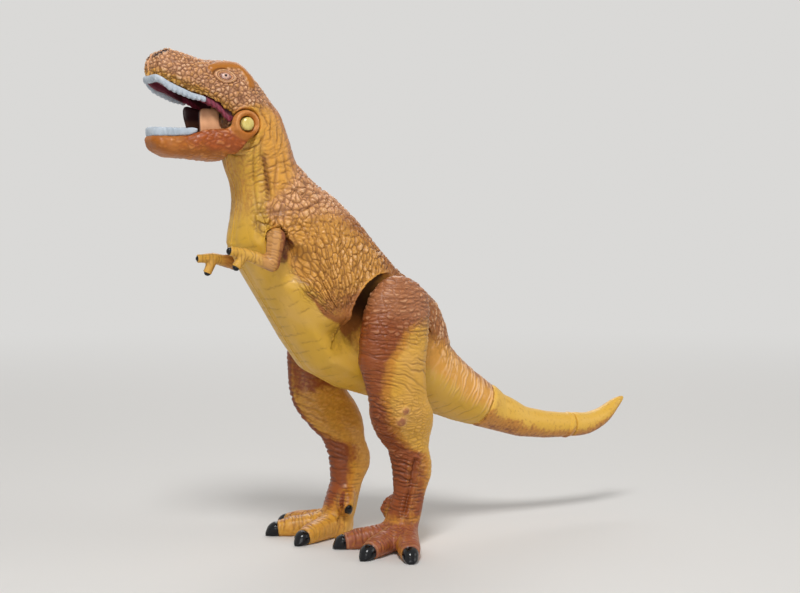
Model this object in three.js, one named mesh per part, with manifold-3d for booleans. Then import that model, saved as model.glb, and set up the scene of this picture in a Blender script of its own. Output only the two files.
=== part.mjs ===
// A standing toy dinosaur: hollow two-shell body, hinged jaw, swinging legs and arms, swivelling tail.
// Millimetres, +Z up, nose towards -X, the animal's left side towards -Y.
import * as THREE from "three";
import { mergeVertices } from "three/addons/utils/BufferGeometryUtils.js";
import Module from "manifold-3d";

const wasm = await Module();
wasm.setup();

// Driving sizes of the whole figure. Places along the body are measured from the hip axis.
const hipHeight = 56;
const headRise = 62.1;
const noseReach = 55.3;
const bodyWidth = 29.6;

// Shell walls, the seam between the shells, and the clearances between pieces.
const shellWall = 1.8;
const seamGap = 0.3;
const glueGap = 0.3;
const runGap = 0.3;
const cutOverrun = 4;
const mergeTolerance = 0.00001;

// Locating pins of the shells.
const locatorRadius = 1.1;
const locatorLength = 2.4;
const locatorBossRadius = 2.6;

// Hips: flat pockets in the body's sides, the thighs in them, and the flanged pivots.
const pocketHalfWidth = 9.4;
const pocketGap = 0.4;
const thighRadius = 10.4;
const thighWidth = 10.8;
const pivotRadius = 2.4;
const pivotGrip = 5;
const flangeRadius = 4;
const flangeThickness = 1.3;

// Legs: height shares follow hipHeight, fore-and-aft shares thighRadius, sideways shares thighWidth.
const stride = 6.2;
const toeLength = 19;
const toeWidth = 6.4;
const toeHeight = 6.6;
const halluxLength = 6;
const halluxRadius = 1.7;
const halluxHeight = 10.6;

// Jaw: a fork turning on a pin through the skull.
const jawPinRadius = 1.5;
const jawPinDome = 0.7;
const jawLobeRadius = 3.15;
const jawWall = 1.5;
const lugShare = 8 / 37;
const lugHalfWidth = lugShare * bodyWidth;
const lobeThickness = 2.4;
const cheekHalfGap = 3.3;
const cheekWall = 0.9;
const floorThickness = 1.4;
const gumDrop = 0.8;
const skullWall = 1.5;
const palateWall = 0.9;
const toothThickness = 1.3;
const upperToothHeight = 1.9;
const lowerToothHeight = 1.3;
const toothSeat = 0.4;

// Arms, pegged in flat sockets.
const upperArmLength = 6.4;
const foreArmLength = 6.6;
const armRadius = 2;
const fingerLength = 3.6;
const fingerRadius = 1.05;
const shoulderHalfWidth = 8.6;
const pegRadius = 1.5;
const pegLength = 3.4;
const pegHeadRadius = 2.1;
const pegHeadThickness = 0.9;

// Tail: the middle turns in the root's end wall, the tip turns on a small pin.
const tailMidLength = 30.6;
const tailMidRadius = 5.6;
const tailTipLength = 18.4;
const tailTipRadius = 3.3;
const tailPegRadius = 2.1;
const tailPegHeadRadius = 3.4;
const tailPegHeadThickness = 1.4;
const tailWall = 2;
const tipPinRadius = 1;
const tipPinLength = 7;

// Faceting.
const bodySides = 20;
const legSides = 16;
const limbSides = 12;
const smallSides = 8;
const roundSides = 16;
const arcSteps = 12;

// Squareness of ring sections: 2 is an ellipse, and higher values are nearer a rectangle.
const roundPower = 2;
const legPower = 2.1;
const toePower = 2.2;
const vaultPower = 2.6;
const jawPower = 2.8;
const toothPower = 3;
const boxyPower = 4;

// Roughness of the plastics.
const paintedRoughness = 0.55;
const liningRoughness = 0.5;
const toothRoughness = 0.45;
const pinRoughness = 0.35;

// Colours of the mouldings and their paint.
const ochre = 0xc98f47;
const brown = 0xa5683c;
const jawOrange = 0xb5672b;
const toothGrey = 0xbfcad6;
const maroon = 0x5a1a2c;
const peach = 0xe3ac80;
const cream = 0xe8dc8c;
const tailYellow = 0xe0b055;
const darkPlastic = 0x4a4038;

const sideways = new THREE.Vector3(0, 1, 0);
const upwards = new THREE.Vector3(0, 0, 1);

// A solid from a closed geometry.
function solidOf(geometry) {
  const plain = geometry.index ? geometry.toNonIndexed() : geometry.clone();
  plain.deleteAttribute("normal");
  plain.deleteAttribute("uv");
  const merged = mergeVertices(plain, mergeTolerance);
  return new wasm.Manifold(new wasm.Mesh({
    numProp: 3,
    vertProperties: new Float32Array(merged.attributes.position.array),
    triVerts: new Uint32Array(merged.index.array),
  }));
}

// A named mesh from a solid.
function meshOf(name, solid, colour, roughness) {
  const data = solid.getMesh();
  const geometry = new THREE.BufferGeometry();
  geometry.setAttribute("position", new THREE.BufferAttribute(new Float32Array(data.vertProperties), 3));
  geometry.setIndex(new THREE.BufferAttribute(new Uint32Array(data.triVerts), 1));
  geometry.computeVertexNormals();
  const material = new THREE.MeshStandardMaterial({ color: colour, roughness, metalness: 0 });
  const mesh = new THREE.Mesh(geometry, material);
  mesh.name = name;
  return mesh;
}

function join(solids) {
  return solids.reduce((whole, piece) => whole.add(piece));
}

// A skin over closed rings of equal point counts, capped flat at both ends and facing out.
function skin(rings) {
  const count = rings[0].length;
  const points = rings.flat();
  const firstPole = points.length;
  const poles = [rings[0], rings[rings.length - 1]].map((ring) =>
    ring.reduce((sum, point) => sum.add(point), new THREE.Vector3()).divideScalar(count));
  const vertices = [...points, ...poles];
  const faces = [];
  for (let ring = 0; ring < rings.length - 1; ring += 1) {
    for (let side = 0; side < count; side += 1) {
      const next = (side + 1) % count;
      const low = ring * count;
      const high = low + count;
      faces.push([low + side, low + next, high + next], [low + side, high + next, high + side]);
    }
  }
  const last = (rings.length - 1) * count;
  for (let side = 0; side < count; side += 1) {
    const next = (side + 1) % count;
    faces.push([firstPole, next, side], [firstPole + 1, last + side, last + next]);
  }
  const volume = faces.reduce((sum, [a, b, c]) =>
    sum + vertices[a].dot(vertices[b].clone().cross(vertices[c])), 0);
  const index = faces.flatMap(([a, b, c]) => (volume > 0 ? [a, b, c] : [a, c, b]));
  const geometry = new THREE.BufferGeometry().setFromPoints(vertices);
  geometry.setIndex(index);
  return geometry;
}

// Stations are { centre, across, along, power }: a ring's centre, its two half axes and its squareness.
// The rings between them follow smooth curves.
function loft(stations, sides, stepsPerGap) {
  const curveOf = (pick) => new THREE.CatmullRomCurve3(stations.map(pick));
  const centres = curveOf((station) => station.centre);
  const acrosses = curveOf((station) => station.across);
  const alongs = curveOf((station) => station.along);
  const powers = curveOf((station, place) => new THREE.Vector3(station.power, place, 0));
  const steps = (stations.length - 1) * stepsPerGap;
  const rings = [];
  for (let step = 0; step <= steps; step += 1) {
    const place = step / steps;
    const centre = centres.getPoint(place);
    const across = acrosses.getPoint(place);
    const along = alongs.getPoint(place);
    const power = 2 / powers.getPoint(place).x;
    const ring = [];
    for (let side = 0; side < sides; side += 1) {
      const angle = (2 * Math.PI * side) / sides;
      const cos = Math.cos(angle);
      const sin = Math.sin(angle);
      ring.push(centre.clone()
        .addScaledVector(across, Math.sign(cos) * Math.abs(cos) ** power)
        .addScaledVector(along, Math.sign(sin) * Math.abs(sin) ** power));
    }
    rings.push(ring);
  }
  return skin(rings);
}

// A round bar between two points, with one radius at each end.
function bar(from, to, radius, endRadius = radius, sides = roundSides) {
  const axis = to.clone().sub(from);
  const geometry = new THREE.CylinderGeometry(endRadius, radius, axis.length(), sides);
  geometry.applyQuaternion(new THREE.Quaternion().setFromUnitVectors(sideways, axis.clone().normalize()));
  const middle = from.clone().add(to).divideScalar(2);
  geometry.translate(middle.x, middle.y, middle.z);
  return solidOf(geometry);
}

// A box between two corners.
function block(low, high) {
  const size = high.clone().sub(low);
  const middle = high.clone().add(low).divideScalar(2);
  const geometry = new THREE.BoxGeometry(size.x, size.y, size.z);
  geometry.translate(middle.x, middle.y, middle.z);
  return solidOf(geometry);
}

// An outline in the X-Z plane carried sideways from one Y to the other.
function sidePlate(outline, fromY, toY) {
  const low = Math.min(fromY, toY);
  const high = Math.max(fromY, toY);
  const shape = new THREE.Shape(outline.map((point) => new THREE.Vector2(point.x, point.z)));
  const geometry = new THREE.ExtrudeGeometry(shape, { depth: high - low, bevelEnabled: false });
  geometry.rotateX(Math.PI / 2);
  geometry.translate(0, high, 0);
  return solidOf(geometry);
}

// An ellipsoid with its half axes along X, Y and Z, turned about Y.
function ellipsoid(centre, halfX, halfY, halfZ, turn = 0) {
  const geometry = new THREE.SphereGeometry(1, limbSides, smallSides);
  geometry.scale(halfX, halfY, halfZ);
  geometry.rotateY(turn);
  geometry.translate(centre.x, centre.y, centre.z);
  return solidOf(geometry);
}

// A point of the body's outline: shares of the nose's reach and of the head's rise, from the hip axis.
function bodyPoint([alongShare, riseShare]) {
  return new THREE.Vector3(alongShare * noseReach, 0, hipHeight + riseShare * headRise);
}

// The body's outline, nose to tail root: back, underside, half width and squareness of each ring.
const bodyShares = [
  { back: [-1.000, 0.947], under: [-0.998, 0.895], width: 0.084, power: 2.2 },
  { back: [-0.982, 0.977], under: [-0.978, 0.876], width: 0.149, power: 2.3 },
  { back: [-0.919, 1.000], under: [-0.922, 0.845], width: 0.186, power: 2.4 },
  { back: [-0.846, 0.984], under: [-0.855, 0.818], width: 0.206, power: 2.4 },
  { back: [-0.783, 0.968], under: [-0.794, 0.795], width: 0.223, power: 2.4 },
  { back: [-0.711, 0.968], under: [-0.731, 0.767], width: 0.264, power: 2.3 },
  { back: [-0.644, 0.969], under: [-0.684, 0.741], width: 0.294, power: 2.3 },
  { back: [-0.586, 0.937], under: [-0.658, 0.696], width: 0.301, power: 2.3 },
  { back: [-0.524, 0.882], under: [-0.658, 0.634], width: 0.297, power: 2.3 },
  { back: [-0.427, 0.786], under: [-0.646, 0.572], width: 0.291, power: 2.2 },
  { back: [-0.385, 0.692], under: [-0.618, 0.507], width: 0.287, power: 2.2 },
  { back: [-0.354, 0.605], under: [-0.609, 0.443], width: 0.297, power: 2.2 },
  { back: [-0.268, 0.531], under: [-0.622, 0.370], width: 0.331, power: 2.2 },
  { back: [-0.165, 0.470], under: [-0.637, 0.287], width: 0.392, power: 2.2 },
  { back: [-0.060, 0.386], under: [-0.571, 0.182], width: 0.449, power: 2.2 },
  { back: [0.036, 0.290], under: [-0.472, 0.048], width: 0.486, power: 2.2 },
  { back: [0.123, 0.208], under: [-0.374, -0.090], width: 0.500, power: 2.2 },
  { back: [0.204, 0.156], under: [-0.282, -0.203], width: 0.486, power: 2.2 },
  { back: [0.286, 0.113], under: [-0.132, -0.275], width: 0.439, power: 2.2 },
  { back: [0.358, 0.060], under: [0.022, -0.317], width: 0.392, power: 2.2 },
  { back: [0.401, -0.018], under: [0.157, -0.349], width: 0.351, power: 2.1 },
  { back: [0.423, -0.106], under: [0.284, -0.383], width: 0.304, power: 2.1 },
  { back: [0.503, -0.177], under: [0.383, -0.412], width: 0.264, power: 2 },
  { back: [0.599, -0.243], under: [0.492, -0.446], width: 0.223, power: 2 },
  { back: [0.687, -0.298], under: [0.588, -0.469], width: 0.196, power: 2 },
];
const hollowStartRing = 10;

// A ring of the body, brought in all round by an inset.
function bodyStation(row, inset) {
  const back = bodyPoint(row.back);
  const under = bodyPoint(row.under);
  const centre = back.clone().add(under).divideScalar(2);
  const along = back.clone().sub(under).divideScalar(2);
  const halfDepth = along.length();
  return {
    centre,
    across: new THREE.Vector3(0, row.width * bodyWidth - inset, 0),
    along: along.multiplyScalar((halfDepth - inset) / halfDepth),
    power: row.power,
  };
}

function bodySkin(inset, rows) {
  return solidOf(loft(rows.map((row) => bodyStation(row, inset)), bodySides, 1));
}

// Hips.
const hipCentre = new THREE.Vector3(0, 0, hipHeight);

function atSide(x, halfY, z, side) {
  return new THREE.Vector3(x, side * halfY, z);
}

// A pocket's outline in the X-Z plane: an arc round a centre, then a flare. Angles count from straight up
// towards the nose, and shares follow the radius.
function fanOutline(centre, radius, arcShares, flareShares) {
  const { from, to, share } = arcShares;
  const turnOf = (step) => from + ((to - from) * step) / arcSteps;
  const arc = Array.from({ length: arcSteps + 1 }, (_, step) => [turnOf(step), share]);
  return [...arc, ...flareShares].map(([degrees, radiusShare]) => {
    const angle = THREE.MathUtils.degToRad(degrees);
    const reach = radiusShare * radius;
    return new THREE.Vector3(centre.x - reach * Math.sin(angle), 0, centre.z + reach * Math.cos(angle));
  });
}

// The same outline, moved away from its centre.
function grownOutline(outline, centre, grow) {
  return outline.map((point) => {
    const away = point.clone().sub(centre);
    return centre.clone().addScaledVector(away, 1 + grow / away.length());
  });
}

// The hip's pocket clears the thigh as it swings.
const pocketArcShares = { from: -95, to: 95, share: 1.15 };
const pocketFlareShares = [
  [105, 1.28], [118, 1.50], [135, 1.95], [152, 2.9], [208, 2.9], [228, 2.6], [242, 1.8], [254, 1.38],
];

function pocket(side, grow) {
  const outline = fanOutline(hipCentre, thighRadius, pocketArcShares, pocketFlareShares);
  const grown = grownOutline(outline, hipCentre, grow);
  return sidePlate(grown, side * (pocketHalfWidth - grow), side * (bodyWidth + cutOverrun));
}

// Tail joints, seen from the side: the root's end face and the axis square to it.
const lastRow = bodyShares[bodyShares.length - 1];
const tailBack = bodyPoint(lastRow.back);
const tailUnder = bodyPoint(lastRow.under);
const tailCentre = tailBack.clone().add(tailUnder).divideScalar(2);
const tailAxis = tailBack.clone().sub(tailUnder).normalize().cross(sideways).negate();

// The jaw's pin, on the skull's side.
const jawPin = bodyPoint([-0.633, 0.729]);

// The recess in the skull's sides for the fork's arms.
const jawArcShares = { from: -138, to: 80, share: 1.11 };
const jawFlareShares = [[95, 2.3], [130, 3.1], [160, 3.1], [178, 2.6], [196, 1.75], [210, 1.3]];

function jawRecess(side) {
  const outline = fanOutline(jawPin, jawLobeRadius, jawArcShares, jawFlareShares);
  return sidePlate(outline, side * lugHalfWidth, side * (bodyWidth + cutOverrun));
}

// Arms hang from the shoulders; their joints are places on the body.
const shoulderPlace = bodyPoint([-0.520, 0.316]);
const armHalfSpread = shoulderHalfWidth + armRadius;
const shoulderArcShares = { from: -110, to: 100, share: 1.9 };
const shoulderFlareShares = [[118, 3.2], [145, 4.6], [180, 5], [212, 4.8], [232, 3.2]];

// The wall behind an arm, which the peg's head grips from inside.
const shoulderWall = pegLength - pegHeadThickness - runGap;

// The recess that an arm swings in, or the same grown by its walls.
function shoulderRecess(side, grow, depth) {
  const outline = fanOutline(shoulderPlace, armRadius, shoulderArcShares, shoulderFlareShares);
  const grown = grownOutline(outline, shoulderPlace, grow);
  return sidePlate(grown, side * (shoulderHalfWidth - depth), side * (bodyWidth + cutOverrun));
}

// The mouth: the hollow in the skull, and the palate that lines it.
const mouthShares = [
  { along: -0.982, roof: 0.900, rim: 0.889, width: 0.145 },
  { along: -0.922, roof: 0.921, rim: 0.863, width: 0.189 },
  { along: -0.855, roof: 0.905, rim: 0.837, width: 0.206 },
  { along: -0.794, roof: 0.889, rim: 0.815, width: 0.223 },
  { along: -0.732, roof: 0.870, rim: 0.787, width: 0.257 },
  { along: -0.680, roof: 0.841, rim: 0.762, width: 0.277 },
];

function mouthHollow(inset, drop) {
  const stations = mouthShares.map((row) => {
    const roof = bodyPoint([row.along, row.roof]);
    const rim = bodyPoint([row.along, row.rim]);
    const low = rim.z - drop;
    const high = roof.z - inset / 2;
    return {
      centre: new THREE.Vector3(roof.x, 0, (low + high) / 2),
      across: new THREE.Vector3(0, row.width * bodyWidth - skullWall - inset, 0),
      along: new THREE.Vector3(0, 0, (high - low) / 2),
      power: vaultPower,
    };
  });
  return solidOf(loft(stations, legSides, 1));
}

// The two shells before they are told apart.
const bodyOuter = bodySkin(0, bodyShares);
const hollowRows = bodyShares.slice(hollowStartRing);
const hollowEnd = tailCentre.clone().addScaledVector(tailAxis, -tailWall);
const hollowPast = tailCentre.clone().addScaledVector(tailAxis, cutOverrun * 3);
const tailEndBlock = bar(hollowEnd, hollowPast, bodyWidth / 2);
const hollow = bodySkin(shellWall, hollowRows)
  .subtract(tailEndBlock)
  .subtract(pocket(-1, shellWall))
  .subtract(pocket(1, shellWall))
  .subtract(shoulderRecess(-1, shellWall, shoulderWall))
  .subtract(shoulderRecess(1, shellWall, shoulderWall));

const locatorPlaces = [
  bodyPoint([-0.40, 0.42]), bodyPoint([-0.39, 0.09]), bodyPoint([0.24, 0.06]), bodyPoint([0.35, -0.23]),
];

// One shell: the half skin, its bosses, and everything that is cut from it.
function torsoShell(side) {
  const far = bodyWidth + cutOverrun;
  const low = bodyPoint([-1.2, -1]);
  const high = bodyPoint([1.2, 1.2]);
  const near = (side * seamGap) / 2;
  const halfSpace = block(
    new THREE.Vector3(low.x, Math.min(near, side * far), low.z),
    new THREE.Vector3(high.x, Math.max(near, side * far), high.z),
  );
  const bosses = locatorPlaces.map((place) =>
    bar(atSide(place.x, 0, place.z, side), atSide(place.x, far, place.z, side), locatorBossRadius));
  const hipBoss = bar(hipCentre, atSide(0, far, hipHeight, side), flangeRadius + shellWall + runGap);
  let solid = bodyOuter.subtract(hollow).add(bodyOuter.intersect(join([...bosses, hipBoss])));
  solid = solid.intersect(halfSpace).subtract(pocket(side, 0)).subtract(jawRecess(side));
  solid = solid.subtract(mouthHollow(0, cutOverrun));
  solid = solid.subtract(hipBore(side)).subtract(shoulderSocket(side)).subtract(tailSocket());
  solid = solid.subtract(bar(
    atSide(jawPin.x, 0, jawPin.z, -1).setY(-far),
    atSide(jawPin.x, 0, jawPin.z, 1).setY(far),
    jawPinRadius + runGap,
  ));
  const pins = locatorPlaces.map((place) => bar(
    atSide(place.x, seamGap, place.z, -1),
    atSide(place.x, locatorLength, place.z, 1),
    side < 0 ? locatorRadius : locatorRadius + glueGap,
  ));
  if (side < 0) return solid.add(join(pins));
  const sockets = locatorPlaces.map((place) => bar(
    atSide(place.x, 0, place.z, 1),
    atSide(place.x, locatorLength + glueGap, place.z, 1),
    locatorRadius + glueGap,
  ));
  return solid.subtract(join(sockets));
}

// Hip pivot: a shaft glued in the thigh, and a flange that turns in a slot of the shell's boss.
const flangeOuter = pocketHalfWidth - shellWall;

function hipPivot(side) {
  const shaft = bar(
    atSide(0, flangeOuter - flangeThickness, hipHeight, side),
    atSide(0, pocketHalfWidth + pocketGap + pivotGrip, hipHeight, side),
    pivotRadius,
  );
  const flange = bar(
    atSide(0, flangeOuter - flangeThickness, hipHeight, side),
    atSide(0, flangeOuter, hipHeight, side),
    flangeRadius,
  );
  return shaft.add(flange);
}

function hipBore(side) {
  const bore = bar(
    atSide(0, flangeOuter - flangeThickness, hipHeight, side),
    atSide(0, pocketHalfWidth + cutOverrun, hipHeight, side),
    pivotRadius + runGap,
  );
  const slot = bar(
    atSide(0, 0, hipHeight, side),
    atSide(0, flangeOuter + runGap, hipHeight, side),
    flangeRadius + runGap,
  );
  return bore.add(slot);
}

function shoulderSocket(side) {
  const { x, z } = shoulderPlace;
  const pegEnd = shoulderHalfWidth - pegLength;
  return join([
    shoulderRecess(side, 0, 0),
    bar(atSide(x, pegEnd, z, side), atSide(x, bodyWidth, z, side), pegRadius + runGap),
    bar(
      atSide(x, pegEnd - runGap, z, side),
      atSide(x, pegEnd + pegHeadThickness + runGap, z, side),
      pegHeadRadius + runGap,
    ),
  ]);
}

// The swivel peg of the tail's middle, grown by a clearance for its socket.
function tailPeg(grow) {
  const outside = tailCentre.clone().addScaledVector(tailAxis, runGap + (grow > 0 ? cutOverrun : 0));
  const neck = tailCentre.clone().addScaledVector(tailAxis, -tailWall - runGap + grow);
  const head = neck.clone().addScaledVector(tailAxis, -tailPegHeadThickness - grow * 2);
  return bar(outside, head, tailPegRadius + grow).add(bar(neck, head, tailPegHeadRadius + grow));
}

function tailSocket() {
  return tailPeg(runGap);
}

// Legs.
const thighHalfSpread = pocketHalfWidth + pocketGap + thighWidth / 2;

// Height share of hipHeight; centre and half depth shares of thighRadius; sideways place and half width
// shares of thighWidth, the place counted outwards from the thigh's middle plane.
const legShares = [
  { height: 1.184, centre: 0.15, depth: 0.17, place: -0.06, width: 0.17 },
  { height: 1.161, centre: 0.15, depth: 0.44, place: -0.04, width: 0.31 },
  { height: 1.107, centre: 0.15, depth: 0.74, place: -0.02, width: 0.44 },
  { height: 1.023, centre: 0.08, depth: 0.85, place: -0.00, width: 0.50 },
  { height: 0.929, centre: 0.01, depth: 0.88, place: -0.00, width: 0.50 },
  { height: 0.821, centre: -0.03, depth: 0.86, place: -0.02, width: 0.50 },
  { height: 0.745, centre: 0.05, depth: 0.79, place: -0.04, width: 0.47 },
  { height: 0.661, centre: 0.16, depth: 0.75, place: -0.08, width: 0.44 },
  { height: 0.593, centre: 0.31, depth: 0.83, place: -0.16, width: 0.43 },
  { height: 0.536, centre: 0.42, depth: 0.78, place: -0.28, width: 0.42 },
  { height: 0.482, centre: 0.53, depth: 0.66, place: -0.40, width: 0.39 },
  { height: 0.429, centre: 0.66, depth: 0.51, place: -0.44, width: 0.35 },
  { height: 0.362, centre: 0.76, depth: 0.49, place: -0.46, width: 0.35 },
  { height: 0.304, centre: 0.78, depth: 0.47, place: -0.47, width: 0.35 },
  { height: 0.241, centre: 0.73, depth: 0.38, place: -0.47, width: 0.34 },
  { height: 0.188, centre: 0.65, depth: 0.40, place: -0.47, width: 0.36 },
  { height: 0.116, centre: 0.53, depth: 0.42, place: -0.47, width: 0.40 },
  { height: 0.046, centre: 0.43, depth: 0.37, place: -0.47, width: 0.41 },
  { height: -0.018, centre: 0.36, depth: 0.32, place: -0.47, width: 0.36 },
];
const thighRings = 7;
const footRow = legShares[legShares.length - 2];
const strideRow = legShares[7];

// A toe's rings from the ankle out: distance and half width and height shares of its sizes.
const toeShares = [
  { reach: -0.14, width: 0.36, height: 0.90 },
  { reach: 0.05, width: 0.54, height: 1.15 },
  { reach: 0.28, width: 0.50, height: 0.95 },
  { reach: 0.52, width: 0.46, height: 0.82 },
  { reach: 0.70, width: 0.44, height: 0.76 },
  { reach: 0.80, width: 0.36, height: 0.64 },
];
const clawShares = [
  { reach: 0.72, width: 0.28, height: 0.50 },
  { reach: 0.81, width: 0.34, height: 0.62 },
  { reach: 0.90, width: 0.31, height: 0.57 },
  { reach: 0.96, width: 0.24, height: 0.44 },
  { reach: 1.00, width: 0.11, height: 0.24 },
];
// Each toe's turn in degrees from straight ahead, outwards positive, and its length as a share of toeLength.
const toeTurnShares = [
  { turn: -22, length: 0.92 },
  { turn: 27, length: 1.00 },
  { turn: 63, length: 1.03 },
];
const soleSinkShare = 0.03;

// The small claw at the ankle's inner side: where it starts, which way it points (ahead, inwards, down),
// and its rings.
const halluxInsetShare = 0.34;
const halluxWayShares = [0.28, 0.38, 0.88];
const halluxShares = [
  { reach: -0.30, radius: 0.55 },
  { reach: -0.15, radius: 1.00 },
  { reach: 0.35, radius: 1.10 },
  { reach: 0.75, radius: 0.85 },
  { reach: 0.95, radius: 0.45 },
  { reach: 1.00, radius: 0.20 },
];
const footCentreShare = 0.58;

function toe(origin, turnDegrees, length, side, rows) {
  const sink = soleSinkShare * toeHeight;
  const turn = THREE.MathUtils.degToRad(turnDegrees);
  const ahead = new THREE.Vector3(-Math.cos(turn), side * Math.sin(turn), 0);
  const across = new THREE.Vector3().crossVectors(ahead, upwards);
  return solidOf(loft(rows.map((row) => {
    const half = (row.height * toeHeight) / 2;
    return {
      centre: origin.clone().addScaledVector(ahead, row.reach * length).setZ(half - sink),
      across: across.clone().multiplyScalar(row.width * toeWidth),
      along: upwards.clone().multiplyScalar(half),
      power: toePower,
    };
  }), limbSides, 1));
}

function hallux(ankle, side) {
  const [aheadShare, inwardShare, downShare] = halluxWayShares;
  const way = new THREE.Vector3(-aheadShare, -side * inwardShare, -downShare).normalize();
  const across = new THREE.Vector3().crossVectors(way, sideways).normalize();
  const beside = new THREE.Vector3().crossVectors(way, across);
  const origin = atSide(ankle.x, side * ankle.y - halluxInsetShare * thighWidth, halluxHeight, side);
  return solidOf(loft(halluxShares.map((row) => ({
    centre: origin.clone().addScaledVector(way, row.reach * halluxLength),
    across: across.clone().multiplyScalar(row.radius * halluxRadius),
    along: beside.clone().multiplyScalar(row.radius * halluxRadius),
    power: roundPower,
  })), smallSides, 1));
}

function leg(side, shift) {
  const outward = (row) => thighHalfSpread + row.place * thighWidth;
  const stations = legShares.map((row) => {
    const forward = shift * Math.min(1, Math.max(0, (1 - row.height) / (1 - strideRow.height)));
    return {
      centre: atSide(row.centre * thighRadius - forward, outward(row), row.height * hipHeight, side),
      across: new THREE.Vector3(0, row.width * thighWidth, 0),
      along: new THREE.Vector3(row.depth * thighRadius, 0, 0),
      power: legPower,
    };
  });
  const ankle = atSide(footCentreShare * thighRadius - shift, outward(footRow), 0, side);
  const toes = toeTurnShares.flatMap((row) => {
    const length = toeLength * row.length;
    return [toe(ankle, row.turn, length, side, toeShares), toe(ankle, row.turn, length, side, clawShares)];
  });
  const floor = block(
    new THREE.Vector3(-noseReach, -bodyWidth * 2, -hipHeight),
    new THREE.Vector3(noseReach, bodyWidth * 2, 0),
  );
  const innerPlane = pocketHalfWidth + pocketGap;
  const innerCut = block(
    atSide(-noseReach, 0, hipHeight * legShares[thighRings].height, side)
      .setY(Math.min(0, side * innerPlane)),
    new THREE.Vector3(noseReach, Math.max(0, side * innerPlane), hipHeight + headRise),
  );
  const pivotBore = bar(
    atSide(0, innerPlane - cutOverrun, hipHeight, side),
    atSide(0, innerPlane + pivotGrip + glueGap, hipHeight, side),
    pivotRadius + glueGap,
  );
  return join([solidOf(loft(stations, legSides, 1)), ...toes, hallux(ankle, side)])
    .subtract(floor).subtract(innerCut).subtract(pivotBore);
}

// Arms: upper arm, forearm and two fingers, with a headed peg towards the body. Turns count from straight
// down towards the nose; radii and sideways places are shares of the arm's radius.
const upperArmTurn = 12;
const foreArmTurn = 112;
const fingerTurns = [100, 35];
const farArmDrop = 11;
const shoulderShare = 1.15;
const elbowShare = 0.9;
const wristShare = 0.66;
const knuckleShare = 1.3;
const elbowOutShare = 0.3;
const wristInShare = 0.6;

// A limb's rings: place in radii before its start, along it, and in radii past its end; and roundness.
const limbShares = [
  { before: -0.9, along: 0, past: 0, round: 0.3 },
  { before: -0.5, along: 0, past: 0, round: 0.85 },
  { before: 0, along: 0, past: 0, round: 1 },
  { before: 0, along: 0.5, past: 0, round: 1 },
  { before: 0, along: 1, past: 0, round: 1 },
  { before: 0, along: 1, past: 0.5, round: 0.85 },
  { before: 0, along: 1, past: 0.9, round: 0.3 },
];

function limb(from, to, fromRadius, toRadius) {
  const axis = to.clone().sub(from).normalize();
  const across = new THREE.Vector3().crossVectors(axis, sideways).normalize();
  const beside = new THREE.Vector3().crossVectors(axis, across);
  return solidOf(loft(limbShares.map((row) => {
    const radius = THREE.MathUtils.lerp(fromRadius, toRadius, row.along) * row.round;
    return {
      centre: from.clone().lerp(to, row.along)
        .addScaledVector(axis, row.before * fromRadius + row.past * toRadius),
      across: across.clone().multiplyScalar(radius),
      along: beside.clone().multiplyScalar(radius),
      power: roundPower,
    };
  }), smallSides, 1));
}

function arm(side, drop) {
  const turned = (degrees, length) => {
    const angle = THREE.MathUtils.degToRad(degrees - drop);
    return new THREE.Vector3(-Math.sin(angle) * length, 0, -Math.cos(angle) * length);
  };
  const shoulder = atSide(shoulderPlace.x, armHalfSpread, shoulderPlace.z, side);
  const elbow = shoulder.clone().add(turned(upperArmTurn, upperArmLength));
  const wrist = elbow.clone().add(turned(foreArmTurn, foreArmLength));
  elbow.y += side * armRadius * elbowOutShare;
  wrist.y -= side * armRadius * wristInShare;
  const fingers = fingerTurns.map((degrees) =>
    limb(wrist, wrist.clone().add(turned(degrees, fingerLength)), fingerRadius * knuckleShare, fingerRadius));
  const plane = shoulderHalfWidth + runGap;
  const inner = block(
    new THREE.Vector3(-noseReach, Math.min(0, side * plane), shoulder.z - upperArmLength / 2),
    new THREE.Vector3(noseReach, Math.max(0, side * plane), shoulder.z + upperArmLength),
  );
  const { x, z } = shoulderPlace;
  const pegEnd = shoulderHalfWidth - pegLength;
  const peg = bar(atSide(x, pegEnd, z, side), shoulder, pegRadius);
  const headEnd = pegEnd + pegHeadThickness;
  const pegHead = bar(atSide(x, pegEnd, z, side), atSide(x, headEnd, z, side), pegHeadRadius);
  return join([
    limb(shoulder, elbow, armRadius * shoulderShare, armRadius * elbowShare),
    limb(elbow, wrist, armRadius * elbowShare, armRadius * wristShare),
    ...fingers,
  ]).subtract(inner).add(peg).add(pegHead);
}

// Lower jaw.
const jawShares = [
  { along: -1.002, top: 0.681, low: 0.660, width: 0.084 },
  { along: -0.980, top: 0.689, low: 0.626, width: 0.139 },
  { along: -0.924, top: 0.691, low: 0.605, width: 0.172 },
  { along: -0.859, top: 0.697, low: 0.604, width: 0.196 },
  { along: -0.792, top: 0.725, low: 0.599, width: 0.223 },
  { along: -0.711, top: 0.734, low: 0.594, width: 0.264 },
  { along: -0.647, top: 0.781, low: 0.589, width: 0.291 },
  { along: -0.568, top: 0.802, low: 0.604, width: 0.301 },
];
// The jaw's side view: rim, round lobe, then down and forward to the chin.
const jawSideShares = [
  [-1.063, 0.699],
  [-0.919, 0.699],
  [-0.859, 0.707],
  [-0.832, 0.718],
  [-0.738, 0.723],
  [-0.696, 0.734],
  [-0.673, 0.767],
  [-0.633, 0.773],
  [-0.582, 0.723],
  [-0.615, 0.676],
  [-0.664, 0.622],
  [-0.693, 0.580],
  [-0.738, 0.556],
  [-1.063, 0.556],
];

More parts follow.
